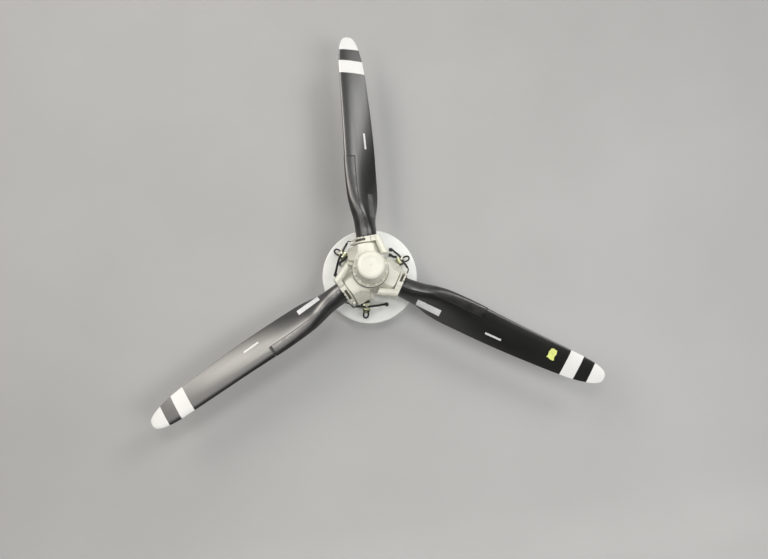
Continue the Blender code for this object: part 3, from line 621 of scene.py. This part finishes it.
def make_patch(name, index, corners, finish, height=0.0003, across=6, along=24, torn=0.0):
    """Corners are (span, side) pairs: inner leading, inner trailing, outer trailing, outer leading."""
    bm = bmesh.new()
    a, b, c, d = (Vector(point) for point in corners)
    top, foot = [], []
    for i in range(along + 1):
        u = i / along
        for j in range(across + 1):
            v = j / across
            place = (a * (1 - v) + b * v) * (1 - u) + (d * (1 - v) + c * v) * u
            if i in (0, along) or j in (0, across):
                place.x += torn * math.sin(9.0 * v + 4.0 * u + index)
                place.y += torn * math.sin(7.0 * u - 5.0 * v + 2 * index)
            top.append(bm.verts.new(front_point(place.x, place.y, height)))
            foot.append(bm.verts.new(front_point(place.x, place.y, 0.00004)))
    row = across + 1
    for i in range(along):
        for j in range(across):
            k = i * row + j
            bm.faces.new((top[k], top[k + 1], top[k + row + 1], top[k + row]))
            bm.faces.new((foot[k + row], foot[k + row + 1], foot[k + 1], foot[k]))
    border = [j for j in range(row)] + [i * row + across for i in range(1, along + 1)]
    border += [along * row + j for j in range(across - 1, -1, -1)]
    border += [i * row for i in range(along - 1, 0, -1)]
    for k, m in zip(border, border[1:] + border[:1]):
        bm.faces.new((top[k], foot[k], foot[m], top[m]))
    patch = make_piece(name, bm, finish, blade_frame(index), sharp=40)
    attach(patch, f"blade_{index + 1}")
    return patch


# %% The marks on each blade
LABELS = (
    (((0.210, 0.0200), (0.210, 0.0380), (0.305, 0.0380), (0.305, 0.0200)), label_grey),
    (((0.207, 0.0225), (0.207, 0.0395), (0.305, 0.0425), (0.305, 0.0212)), label_white),
    (((0.215, 0.0210), (0.215, 0.0410), (0.310, 0.0410), (0.310, 0.0210)), label_white),
)
for index, (corners, finish) in enumerate(LABELS):
    make_patch(f"root_label_{index + 1}", index, corners, finish)

BAR_SPANS = (0.490, 0.555)
BAR_SIDES = ((0.0255, 0.0325), (0.0255, 0.0325), (0.0225, 0.0295))
for index in range(BLADES):
    (start, end), (near, far) = BAR_SPANS, BAR_SIDES[index]
    make_patch(f"blade_bar_{index + 1}", index, ((start, near), (start, far), (end, far), (end, near)),
               mark_white, height=0.00015, across=3, along=16)

STICKER = ((0.737, -0.0210), (0.735, 0.0160), (0.764, 0.0190), (0.763, -0.0220))
make_patch("service_sticker", 1, STICKER, sticker_yellow, height=0.0004, across=16, along=14, torn=0.0014)

SEALANT = ((0.4602, -0.0500), (0.4602, -0.0120), (0.4690, -0.0180), (0.4632, -0.0500))
CHIP = ((0.4612, -0.0548), (0.4612, -0.0512), (0.4662, -0.0512), (0.4662, -0.0548))
make_patch("boot_end_sealant", 2, SEALANT, sleeving, height=0.0006, across=10, along=4)
make_patch("edge_chip", 2, CHIP, plated, height=0.0002, across=4, along=6)
print("labels, bars, a sticker, a smear of sealant and a chip laid on the blades")

# %% [markdown]
# ## Forgings with soft edges
# The hub and the clamps are forged, machined in places and then painted thickly, so no edge on them is
# sharp. Their solids are copied, remeshed into small even faces and smoothed for a few rounds, which rounds
# every edge and fills every inner corner at once, the way thick paint does.

# %% Soften a solid
def softened(name, node, finish, voxel, rounds, keep):
    copy = bpy.data.objects.new(name, nodes[node].data.copy())
    bpy.context.scene.collection.objects.link(copy)
    weld = copy.modifiers.new("join split edges", "WELD")
    weld.merge_threshold = 0.00002
    remesh = copy.modifiers.new("even faces", "REMESH")
    remesh.mode = "VOXEL"
    remesh.voxel_size = voxel
    smooth = copy.modifiers.new("round the edges", "SMOOTH")
    smooth.factor = 0.5
    smooth.iterations = rounds
    fewer = copy.modifiers.new("fewer faces", "DECIMATE")
    fewer.ratio = keep
    solid = bpy.data.meshes.new_from_object(copy.evaluated_get(bpy.context.evaluated_depsgraph_get()))
    bpy.data.objects.remove(copy)
    solid.name = name
    solid.materials.clear()
    solid.materials.append(finish)
    solid.shade_smooth()
    piece = bpy.data.objects.new(name, solid)
    bpy.context.scene.collection.objects.link(piece)
    print(name, len(solid.polygons), "faces")
    return piece


hub = softened("hub_forging", "hub_body", cream, 0.0015, 5, 0.45)
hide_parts("hub_body")
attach(hub, "hub")

for index in range(BLADES):
    solid = f"counterweight_clamp_{index + 1}"
    clamp = softened(f"weight_clamp_{index + 1}", solid, clamp_cream, 0.0009, 3, 0.40)
    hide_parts(solid)
    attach(clamp, f"blade_{index + 1}")

# %% [markdown]
# ## The pitch cylinder
# Oil pressure in this cylinder turns the blades. It is turned all over, so a profile of radius and station
# says everything: the flange, the step, the wall, and a front face with a shallow recess and a plug.

# %% The cylinder, its seal and its plug
CYLINDER_PROFILE = (
    ((0.0000, 0.1686), 0), ((0.0665, 0.1686), 0.0008), ((0.0665, 0.1780), 0.0018),
    ((0.0545, 0.1780), 0.0016), ((0.0545, 0.1870), 0.0022), ((0.0512, 0.1905), 0.0024),
    ((0.0512, 0.2690), 0.0120),
    ((0.0330, 0.2690), 0.0040), ((0.0270, 0.2683), 0.0040), ((0.0000, 0.2683), 0),
)


def turned_piece(name, profile, sizes, finish, sides=128, closed=False, place=SHAFT):
    return make_piece(name, turned(rounded(profile, sizes, closed), sides, closed), finish, place, sharp=30)


def stand_for(piece, node, body):
    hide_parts(node)
    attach(piece, body)
    return piece


points, sizes = zip(*CYLINDER_PROFILE)
cylinder = turned_piece("cylinder_wall", points, sizes, cream)
stand_for(cylinder, "pitch_cylinder", "hub")

SEAL = ((0.0450, 0.1653), (0.0682, 0.1653), (0.0682, 0.1683), (0.0450, 0.1683))
seal = turned_piece("flange_seal", SEAL, (0, 0.0006, 0.0006, 0), resin, closed=True)
stand_for(seal, "cylinder_seal", "hub")

PLUG = ((0.0000, 0.2685), (0.0050, 0.2685), (0.0050, 0.2703), (0.0034, 0.2703), (0.0030, 0.2695),
        (0.0000, 0.2695))
plug = turned_piece("front_plug", PLUG, (0, 0, 0.0006, 0.0002, 0.0002, 0), cream, sides=48)
stand_for(plug, "cylinder_plug", "hub")
print("cylinder front at station", CYLINDER_PROFILE[6][0][1])

# %% [markdown]
# ### Flange screws
# Twelve small cap screws hold the cylinder on. They were painted over with the hub, so they show as pale
# lumps on a dustier flange. Each is a hexagon on a round washer face, with its edges well rounded by paint.

# %% The ring of screws
SCREWS = 12
SCREW_CIRCLE = 0.0598
FLANGE_FRONT = 0.1780
# Radius of the hexagon, height, and radius of the washer face
FLANGE_SCREW = (0.0047, 0.0052, 0.0055)


def screw_head(radius, height, washer):
    """A six-sided head on a washer face, standing on local Z = 0."""
    bm = bmesh.new()
    for size, sides, low, high in ((washer, 24, 0, height * 0.22), (radius, 6, height * 0.2, height)):
        ring = [(size * math.cos(math.tau * k / sides), size * math.sin(math.tau * k / sides))
                for k in range(sides)]
        block = pulled(ring, low, high)
        edges = [edge for edge in block.edges if edge.calc_face_angle(0) > 0.6]
        bmesh.ops.bevel(block, geom=edges, offset=height * 0.10, segments=2, affect="EDGES")
        mesh = bpy.data.meshes.new("block")
        block.to_mesh(mesh)
        block.free()
        bm.from_mesh(mesh)
        bpy.data.meshes.remove(mesh)
    return bm


DUST = ((0.0556, 0.1776), (0.0652, 0.1776), (0.0652, 0.1781), (0.0556, 0.1781))
dust = turned_piece("flange_dust", DUST, (0, 0, 0.0002, 0.0002), dusty_cream, closed=True)
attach(dust, "hub")

for number in range(SCREWS):
    angle = math.tau * (number + 0.5) / SCREWS
    place = Matrix.Translation(on_shaft(angle, SCREW_CIRCLE, FLANGE_FRONT)) @ SHAFT
    screw = make_piece(f"flange_screw_{number + 1}", screw_head(*FLANGE_SCREW), cream, place)
    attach(screw, "hub")
print(SCREWS, "flange screws")

# %% [markdown]
# ### Details of the clamps
# A dark strip on the floor of each clamp's long window and a dark block in each notch paint the shade there.
# A bolt through the ear closes the clamp, and its painted head faces forward.

# %% Painted shade in the clamps, and clamp bolts
WINDOW_SIDES = (101, 151)
WINDOW_SPANS = (0.1158, 0.1232)
WINDOW_FLOOR = 0.0460
NOTCHES = 24
NOTCH_FLOOR = 0.0495
NOTCH_SIZE = (0.0016, 0.0052, 0.0036)
NOTCH_SPAN = 0.1292
PLAIN_SIDE = (5, 95)
EAR_BOLT = (-0.0580, -0.0136, 0.1170)
EAR_BOLT_HEAD = (0.0034, 0.0030, 0.0040)


def painted_clamp_shade():
    """A bent strip on the window's floor and a block in each notch, both dark to paint the shade there. Side
    90 faces forward, 180 leads.
    """
    steps, outer = 12, WINDOW_FLOOR + 0.0007
    start, end = WINDOW_SIDES
    angles = [math.radians(start + (end - start) * k / steps) for k in range(steps + 1)]
    arc = [(outer * math.cos(angle), -outer * math.sin(angle)) for angle in angles]
    arc += [(WINDOW_FLOOR * math.cos(angle), -WINDOW_FLOOR * math.sin(angle)) for angle in reversed(angles)]
    bm = pulled(arc, *WINDOW_SPANS)
    for notch in range(NOTCHES):
        side = 360 * notch / NOTCHES
        if PLAIN_SIDE[0] < side < PLAIN_SIDE[1]:
            continue
        turn = Matrix.Rotation(math.radians(-side), 4, "Z")
        middle = Matrix.Translation((NOTCH_FLOOR, 0, NOTCH_SPAN))
        bmesh.ops.create_cube(bm, size=1, matrix=turn @ middle @ Matrix.Diagonal((*NOTCH_SIZE, 1)))
    return bm


for index in range(BLADES):
    # Painted shade: a dark strip on each window's floor and a dark block in each notch.
    fill = make_piece(f"clamp_grease_{index + 1}", painted_clamp_shade(), painted_shade, blade_frame(index))
    place = blade_frame(index) @ Matrix.Translation(EAR_BOLT) @ SHAFT
    bolt = make_piece(f"ear_bolt_{index + 1}", screw_head(*EAR_BOLT_HEAD), cream, place)
    for piece in (fill, bolt):
        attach(piece, f"blade_{index + 1}")
print("grease and bolts on", BLADES, "clamps")

# %% [markdown]
# ## The bulkhead and the slip ring
# The white bulkhead is a spun sheet with a turned-back rim. On the engine's side it carries a resin ring
# with two copper tracks, which brushes rub on to feed the boots.

# %% Bulkhead, slip ring body and tracks
BULKHEAD = ((0.0553, 0.0145), (0.0553, 0.0175), (0.1865, 0.0175), (0.1865, 0.0010), (0.1835, 0.0010),
            (0.1835, 0.0145))
bulkhead = turned_piece("bulkhead_sheet", BULKHEAD, (0, 0.0006, 0.0070, 0.0012, 0.0012, 0.0042), white,
                        sides=180, closed=True)
stand_for(bulkhead, "spinner_bulkhead", "hub")

RING_BODY = ((0.0765, 0.0022), (0.1040, 0.0022), (0.1040, 0.0142), (0.0765, 0.0142))
ring_body = turned_piece("ring_insulator", RING_BODY, (0.0008, 0.0008, 0, 0), resin, closed=True)
stand_for(ring_body, "slip_ring_body", "hub")

for number, inner in enumerate((0.0800, 0.0915)):
    outer = inner + 0.0080
    shape = ((inner, 0.0007), (outer, 0.0007), (outer, 0.0019), (inner, 0.0019))
    track = turned_piece(f"copper_track_{number + 1}", shape, (0.0003, 0.0003, 0, 0), copper, closed=True)
    stand_for(track, f"slip_ring_track_{number + 1}", "hub")
print("bulkhead", 2 * BULKHEAD[2][0], "m across")

# %% [markdown]
# ## Studs
# Six half-inch studs stand out of the rear flange. A thread is a ridge that climbs as it goes round, so the
# radius of each point depends on its height minus its share of a turn.

# %% Threaded studs
STUDS = 6
STUD_CIRCLE = 0.0603
STUD_RADIUS = 0.00635
STUD_REACH = 0.0300
STUD_DEPTH = 0.0120
THREAD_PITCH = 0.00127
THREAD_DEPTH = 0.00065
THREAD_SHORT = 0.0040
STUD_POINT_SHARE = 0.80
STUD_POINT = 0.0010
PLAIN_START = -0.0020


def ring_of(radii, height):
    """A level ring of points, one for each radius."""
    turns = [math.tau * k / len(radii) for k in range(len(radii))]
    return [(radius * math.cos(turn), radius * math.sin(turn), height) for radius, turn in zip(radii, turns)]


def threaded_stud():
    sides, per_turn = 24, 6
    count = int((STUD_REACH - THREAD_SHORT) / THREAD_PITCH * per_turn)
    rings = [ring_of([STUD_RADIUS * STUD_POINT_SHARE] * sides, -STUD_REACH)]
    for step in range(count + 1):
        phases = [(step / per_turn - k / sides) % 1.0 for k in range(sides)]
        radii = [STUD_RADIUS - THREAD_DEPTH * abs(2 * phase - 1) for phase in phases]
        rings.append(ring_of(radii, -STUD_REACH + STUD_POINT + step * THREAD_PITCH / per_turn))
    for height in (PLAIN_START, STUD_DEPTH):
        rings.append(ring_of([STUD_RADIUS] * sides, height))
    return lofted(rings)


for number in range(STUDS):
    angle = math.tau * (number + 0.5) / STUDS
    place = Matrix.Translation(on_shaft(angle, STUD_CIRCLE, 0)) @ SHAFT
    stud = make_piece(f"threaded_stud_{number + 1}", threaded_stud(), plated, place)
    stand_for(stud, f"mounting_stud_{number + 1}", "hub")
print(STUDS, "studs reach", STUD_REACH, "m behind the flange")

# %% [markdown]
# ## Brackets, terminal blocks and leads
# Between each blade and the next a plated bracket stands on the bulkhead. It holds the lead that feeds the
# boot and a small terminal block. The bracket is bent sheet, so it starts as a bent strip without
# thickness, and two modifiers give it its sheet thickness and its rounded border.

# %% Brackets
BRACKET_WIDTH = 0.028
BRACKET_SHEET = 0.0018
BRACKET_PATH = ((0.1480, 0.0187), (0.1189, 0.0187), (0.1189, 0.0811), (0.1420, 0.0811))


def applied(piece):
    """Replaces a piece's mesh by what its modifiers make of it."""
    solid = bpy.data.meshes.new_from_object(piece.evaluated_get(bpy.context.evaluated_depsgraph_get()))
    piece.modifiers.clear()
    old = piece.data
    piece.data = solid
    solid.name = old.name + "_applied"
    bpy.data.meshes.remove(old)
    return piece


def make_bracket(index):
    path = rounded(BRACKET_PATH, (0, 0.0040, 0.0040, 0), closed=False)
    bm = bmesh.new()
    half = BRACKET_WIDTH / 2
    for low, high in zip(path, path[1:]):
        quad = [(low[0], -half, low[1]), (high[0], -half, high[1]), (high[0], half, high[1]),
                (low[0], half, low[1])]
        bm.faces.new([bm.verts.new(point) for point in quad])
    bmesh.ops.remove_doubles(bm, verts=bm.verts, dist=0.00001)
    corners = [vert for vert in bm.verts if len(vert.link_faces) == 1]
    bmesh.ops.bevel(bm, geom=corners, offset=0.005, segments=4, affect="VERTICES")
    bracket = make_piece(f"plated_bracket_{index + 1}", bm, chromate, bracket_frame(index))
    thick = bracket.modifiers.new("sheet", "SOLIDIFY")
    thick.thickness = BRACKET_SHEET
    thick.offset = 0
    soft = bracket.modifiers.new("border", "BEVEL")
    soft.width = 0.0003
    soft.segments = 2
    soft.limit_method = "ANGLE"
    applied(bracket)
    stand_for(bracket, f"lead_bracket_{index + 1}", "hub")
    return bracket


brackets = [make_bracket(index) for index in range(BLADES)]

TAB_SCREW_RADIUS = 0.1245
TAB_FRONT = 0.0820
TAB_SIDES = (-0.0085, 0.0085)
TAB_SCREW = (0.0022, 0.0018, 0.0030)
for index in range(BLADES):
    for number, side in enumerate(TAB_SIDES):
        place = bracket_frame(index) @ Matrix.Translation((TAB_SCREW_RADIUS, side, TAB_FRONT))
        name = f"tab_screw_{2 * index + number + 1}"
        screw = make_piece(name, screw_head(*TAB_SCREW), plated, place)
        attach(screw, "hub")
print(len(brackets), "brackets, each with two screws")

# %% Terminal blocks
BLOCK_INNER = 0.1201
BLOCK_OUTER = 0.1400
BLOCK_WIDTH = 0.0260
BLOCK_LOW = 0.0199
BLOCK_TOP = 0.0540


def make_block(index):
    half = BLOCK_WIDTH / 2
    outline = ((BLOCK_INNER, -half), (BLOCK_OUTER, -half), (BLOCK_OUTER, half), (BLOCK_INNER, half))
    bm = pulled(rounded(outline, (0.001, 0.003, 0.003, 0.001)), BLOCK_LOW, BLOCK_TOP)
    rim = [edge for edge in bm.edges if edge.calc_face_angle(0) > 1.2]
    bmesh.ops.bevel(bm, geom=rim, offset=0.0012, segments=3, affect="EDGES")
    block = make_piece(f"resin_block_{index + 1}", bm, resin, bracket_frame(index))
    stand_for(block, f"terminal_block_{index + 1}", "hub")
    return block


blocks = [make_block(index) for index in range(BLADES)]
print(len(blocks), "terminal blocks", BLOCK_TOP - BLOCK_LOW, "m tall")

# %% [markdown]
# ### Leads
# Each boot is fed by a sleeved lead that runs from the blade's root across the bracket and down through a
# grommet in the bulkhead. A second, shorter lead bonds the hub to the bulkhead, and a loop hangs from the
# terminal block. Their routes are the CAD routes: angle from the blade towards the next one, radius and
# station. A smooth curve through the points keeps the bends soft.

# %% Routes and tubes
LEAD_ROUTE = (
    (32.2, 0.1436, 0.1000), (36.0, 0.1402, 0.0965), (40.5, 0.1374, 0.0930), (45.0, 0.1350, 0.0905),
    (49.0, 0.1332, 0.0895), (54.0, 0.1320, 0.0890), (61.0, 0.1305, 0.0830), (68.0, 0.1302, 0.0690),
    (75.0, 0.1312, 0.0540), (80.5, 0.1335, 0.0420), (83.0, 0.1345, 0.0310), (83.0, 0.1345, 0.0220),
)
LEAD_SWEEPS = (1.00, 0.80, 1.06)
LEAD_SHIFTS = (0.0000, 0.0000, -0.0040)
CLAMPED_POINT = 4
LEAD_RADIUS = 0.0042
BONDING_RADIUS = 0.0046
LOOP_RADIUS = 0.0034
LOOP_GAP = 0.0006
BONDING_ROUTES = (
    ((47.5, 0.1118, 0.0700), (52.5, 0.1115, 0.0735), (58.5, 0.1160, 0.0735), (61.0, 0.1205, 0.0680),
     (63.4, 0.1235, 0.0560), (64.0, 0.1245, 0.0430), (64.2, 0.1250, 0.0310), (64.2, 0.1250, 0.0178)),
    ((58.4, 0.1225, 0.0640), (59.2, 0.1160, 0.0700), (62.0, 0.1110, 0.0735), (66.0, 0.1095, 0.0720),
     (69.4, 0.1105, 0.0620), (70.6, 0.1125, 0.0470), (70.8, 0.1135, 0.0310), (70.8, 0.1135, 0.0178)),
    ((54.1, 0.1062, 0.0690), (50.5, 0.1080, 0.0700), (46.5, 0.1105, 0.0670), (43.0, 0.1132, 0.0585),
     (40.0, 0.1150, 0.0460), (39.0, 0.1168, 0.0350), (38.8, 0.1175, 0.0260), (38.8, 0.1175, 0.0178)),
)
LOOP_STATION = 0.0420
LOOP_ROUTE = (
    (-0.0080, 0.0000, 0.0000), (-0.0082, 0.0060, 0.0002), (-0.0094, 0.0150, 0.0010),
    (-0.0070, 0.0235, 0.0015), (0.0000, 0.0275, 0.0015), (0.0070, 0.0235, 0.0015),
    (0.0094, 0.0150, 0.0010), (0.0082, 0.0060, 0.0002), (0.0080, 0.0000, 0.0000),
)


def smooth_route(points, per_leg=8):
    route = []
    for k in range(len(points) - 1):
        a, b, c, d = (points[min(max(k + step, 0), len(points) - 1)] for step in (-1, 0, 1, 2))
        for step in range(per_leg):
            t = step / per_leg
            route.append(0.5 * (2 * b + (c - a) * t + (2 * a - 5 * b + 4 * c - d) * t * t
                                + (3 * b - a - 3 * c + d) * t ** 3))
    return route + [points[-1]]


def make_tube(name, points, radius, finish):
    curve = bpy.data.curves.new(name, "CURVE")
    curve.dimensions = "3D"
    curve.bevel_depth = radius
    curve.bevel_resolution = 6
    curve.use_fill_caps = True
    spline = curve.splines.new("POLY")
    spline.points.add(len(points) - 1)
    for target, point in zip(spline.points, points):
        target.co = (*point, 1)
    curve.materials.append(finish)
    tube = bpy.data.objects.new(name, curve)
    bpy.context.scene.collection.objects.link(tube)
    return tube


# %% Where each lead runs
def route_points(index, route):
    turn = blade_turn(index)
    return [on_shaft(turn - math.radians(angle), radius, station) for angle, radius, station in route]


def lead_points(index):
    fixed = LEAD_ROUTE[CLAMPED_POINT][0]
    route = []
    for angle, radius, station in LEAD_ROUTE:
        past = max(angle - fixed, 0)
        route.append((angle + past * (LEAD_SWEEPS[index] - 1), radius + LEAD_SHIFTS[index], station))
    return route_points(index, route)


for index in range(BLADES):
    lead = make_tube(f"boot_lead_{index + 1}", smooth_route(lead_points(index)), LEAD_RADIUS, sleeving)
    stand_for(lead, f"deice_lead_{index + 1}", "hub")
    bonding = smooth_route(route_points(index, BONDING_ROUTES[index]))
    bond = make_tube(f"bond_lead_{index + 1}", bonding, BONDING_RADIUS, sleeving)
    stand_for(bond, f"bonding_lead_{index + 1}", "hub")
    place = bracket_frame(index)
    start = BLOCK_OUTER + LOOP_GAP
    bend = [place @ Vector((start + out, side, LOOP_STATION + lift)) for side, out, lift in LOOP_ROUTE]
    loop = make_tube(f"block_loop_{index + 1}", smooth_route(bend), LOOP_RADIUS, sleeving)
    stand_for(loop, f"terminal_loop_{index + 1}", "hub")
print("leads, bonding leads and loops routed")

# %% [markdown]
# ### Boot tails
# Between the end of each lead and its boot runs a thin flexible tail, behind the clamp's ear. It is one
# mesh drawn with the blade at rest: its first point is the lead's end, and the rest of its route is given
# in the blade's frame. It is attached to neither the hub nor the blade, so it does not bend when the blade
# turns.

# %% Flexible tails
TAIL_RADIUS = 0.0024
TAIL_ROUTE = (
    (-0.0765, 0.0000, 0.1215), (-0.0732, -0.0020, 0.1261), (-0.0690, 0.0060, 0.1285),
    (-0.0610, 0.0180, 0.1290), (-0.0520, 0.0280, 0.1300), (-0.0440, 0.0300, 0.1345),
    (-0.0385, 0.0262, 0.1395), (-0.0362, 0.0215, 0.1445), (-0.0357, 0.0206, 0.1500),
)


def tube_skin(points, radius, sides=14):
    """A closed tube along a route. Each ring keeps the turn of the one before, so the skin doesn't twist."""
    rings, across = [], Vector((0, 1, 0))
    turns = [math.tau * j / sides for j in range(sides)]
    for k, point in enumerate(points):
        along = (points[min(k + 1, len(points) - 1)] - points[max(k - 1, 0)]).normalized()
        across = (across - along * across.dot(along)).normalized()
        other = along.cross(across)
        rings.append([point + (across * math.cos(turn) + other * math.sin(turn)) * radius for turn in turns])
    return lofted(rings)


for index in range(BLADES):
    place = blade_frame(index)
    route = [place @ Vector(point) for point in TAIL_ROUTE]
    route[0] = lead_points(index)[0]
    tail = make_piece(f"boot_tail_{index + 1}", tube_skin(smooth_route(route), TAIL_RADIUS), sleeving)
    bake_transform(tail)
print("tails join the leads to the boots")

# %% Lead clamps and grommets
GROMMET = ((0.0000, 0.0178), (0.0080, 0.0178), (0.0066, 0.0208), (0.0000, 0.0208))
LEAD_BAND = ((0.0048, -0.0040), (0.0062, -0.0040), (0.0062, 0.0040), (0.0048, 0.0040))
for index in range(BLADES):
    points = lead_points(index)
    along = (points[CLAMPED_POINT + 1] - points[CLAMPED_POINT - 1]).normalized()
    place = Matrix.Translation(points[CLAMPED_POINT]) @ along.to_track_quat("Z", "Y").to_matrix().to_4x4()
    clamp = turned_piece(f"lead_band_{index + 1}", LEAD_BAND, (0.0003,) * 4, plated, sides=40, closed=True,
                         place=place)
    stand_for(clamp, f"lead_clamp_{index + 1}", "hub")
    end = points[-1]
    base = Matrix.Translation((end.x, 0, end.z)) @ SHAFT
    grommet = turned_piece(f"grommet_{index + 1}", GROMMET, (0, 0.0006, 0.0008, 0), resin, sides=40,
                           place=base)
    stand_for(grommet, f"lead_grommet_{index + 1}", "hub")
print("lead clamps and grommets set")

# %% [markdown]
# ## Studio
# The propeller hangs in front of a plain pale backdrop that curves into a plain pale floor. The backdrop is
# painted on its front only, so it doesn't hide the propeller from behind. Black paint shows little but what
# it mirrors, so two bright soft lights hang where the left and the top blade mirror them. A wide weak
# ceiling fills in from above, and a small light in front draws the streak down each round shank. The two
# sheen panels show in gloss only, so they brighten the black blades and leave the white parts as they are.
# The low fill does the opposite: it lifts the shades on the hub and the bulkhead, and no gloss shows it.

# %% Backdrop and floor
FLOOR = -1.25
WALL = 0.075


def make_backdrop():
    path = rounded(((-0.60, FLOOR), (WALL, FLOOR), (WALL, 1.70)), (0, 0.30, 0), closed=False)
    bm = bmesh.new()
    rows = [[bm.verts.new((x, y, z)) for x in (-2.2, 2.2)] for y, z in path]
    for low, high in zip(rows, rows[1:]):
        bm.faces.new((low[0], low[1], high[1], high[0]))
    mesh = bpy.data.meshes.new("backdrop")
    bm.to_mesh(mesh)
    bm.free()
    mesh.shade_smooth()
    material, tree, shader = start_finish("backdrop_paint", Roughness=0.9, Specular_IOR_Level=0.2)
    clouds = spread(tree, grain(tree, 1.5), 0.3, 0.7, 0, 1)
    shade = mixed(tree, clouds, (0.40, 0.40, 0.395), (0.43, 0.43, 0.425))
    tree.links.new(shade, shader.inputs["Base Color"])
    clear = tree.nodes.new("ShaderNodeBsdfTransparent")
    shape = tree.nodes.new("ShaderNodeNewGeometry")
    choose = tree.nodes.new("ShaderNodeMixShader")
    tree.links.new(shape.outputs["Backfacing"], choose.inputs[0])
    tree.links.new(shader.outputs[0], choose.inputs[1])
    tree.links.new(clear.outputs[0], choose.inputs[2])
    tree.links.new(choose.outputs[0], tree.nodes["Material Output"].inputs["Surface"])
    mesh.materials.append(material)
    backdrop = bpy.data.objects.new("backdrop", mesh)
    bpy.context.scene.collection.objects.link(backdrop)
    backdrop.visible_shadow = False
    return backdrop


backdrop = make_backdrop()
print(backdrop.name, WALL, "m behind the flange")


# %% Lights
def soft_light(name, place, aim, width, height, power, colour=(1, 1, 1)):
    data = bpy.data.lights.new(name, "AREA")
    data.shape = "RECTANGLE"
    data.size = width
    data.size_y = height
    data.energy = power
    data.color = colour
    light = bpy.data.objects.new(name, data)
    bpy.context.scene.collection.objects.link(light)
    light.location = place
    light.visible_camera = False
    light.rotation_mode = "QUATERNION"
    light.rotation_quaternion = (Vector(aim) - Vector(place)).to_track_quat("-Z", "Y")
    return light


soft_light("left_light", (-2.9, -3.4, 2.9), (-0.3, -0.1, 0), 2.0, 3.2, 100, (1.0, 0.95, 0.89))
soft_light("right_light", (3.9, -4.3, 2.7), (0, -0.1, 0.3), 2.4, 2.1, 118, (1.0, 0.99, 0.96))
soft_light("left_fill", (-2.3, -3.5, 0.2), (0, -0.1, -0.1), 1.6, 1.2, 26, (1.0, 0.96, 0.91))
soft_light("ceiling_light", (-0.6, -2.85, 2.7), (-0.6, -2.85, 0), 9.6, 5.6, 65)
soft_light("front_light", (-0.2, -3.6, 0.75), (0, -0.1, 0), 1.0, 0.8, 22)
soft_light("rear_light", (0.9, 2.6, 1.6), (0, 0, 0), 2.0, 1.6, 70)
left_sheen = soft_light("left_sheen", (-2.2, -2.3, 2.7), (-0.3, -0.1, -0.2), 2.0, 2.6, 98, (1.0, 0.94, 0.86))
left_sheen.visible_diffuse = False
front_sheen = soft_light("front_sheen", (-0.6, -3.6, 1.0), (0.1, -0.1, 0), 2.4, 1.8, 24)
front_sheen.visible_diffuse = False
low_fill = soft_light("low_fill", (1.7, -3.3, -1.1), (0, -0.1, -0.1), 2.0, 1.4, 66)
low_fill.visible_glossy = False

world = bpy.data.worlds.new("room")
world.use_nodes = True
world.node_tree.nodes["Background"].inputs["Color"].default_value = (0.82, 0.83, 0.84, 1)
world.node_tree.nodes["Background"].inputs["Strength"].default_value = 0.07
bpy.context.scene.world = world
bpy.context.scene.view_settings.view_transform = "Standard"
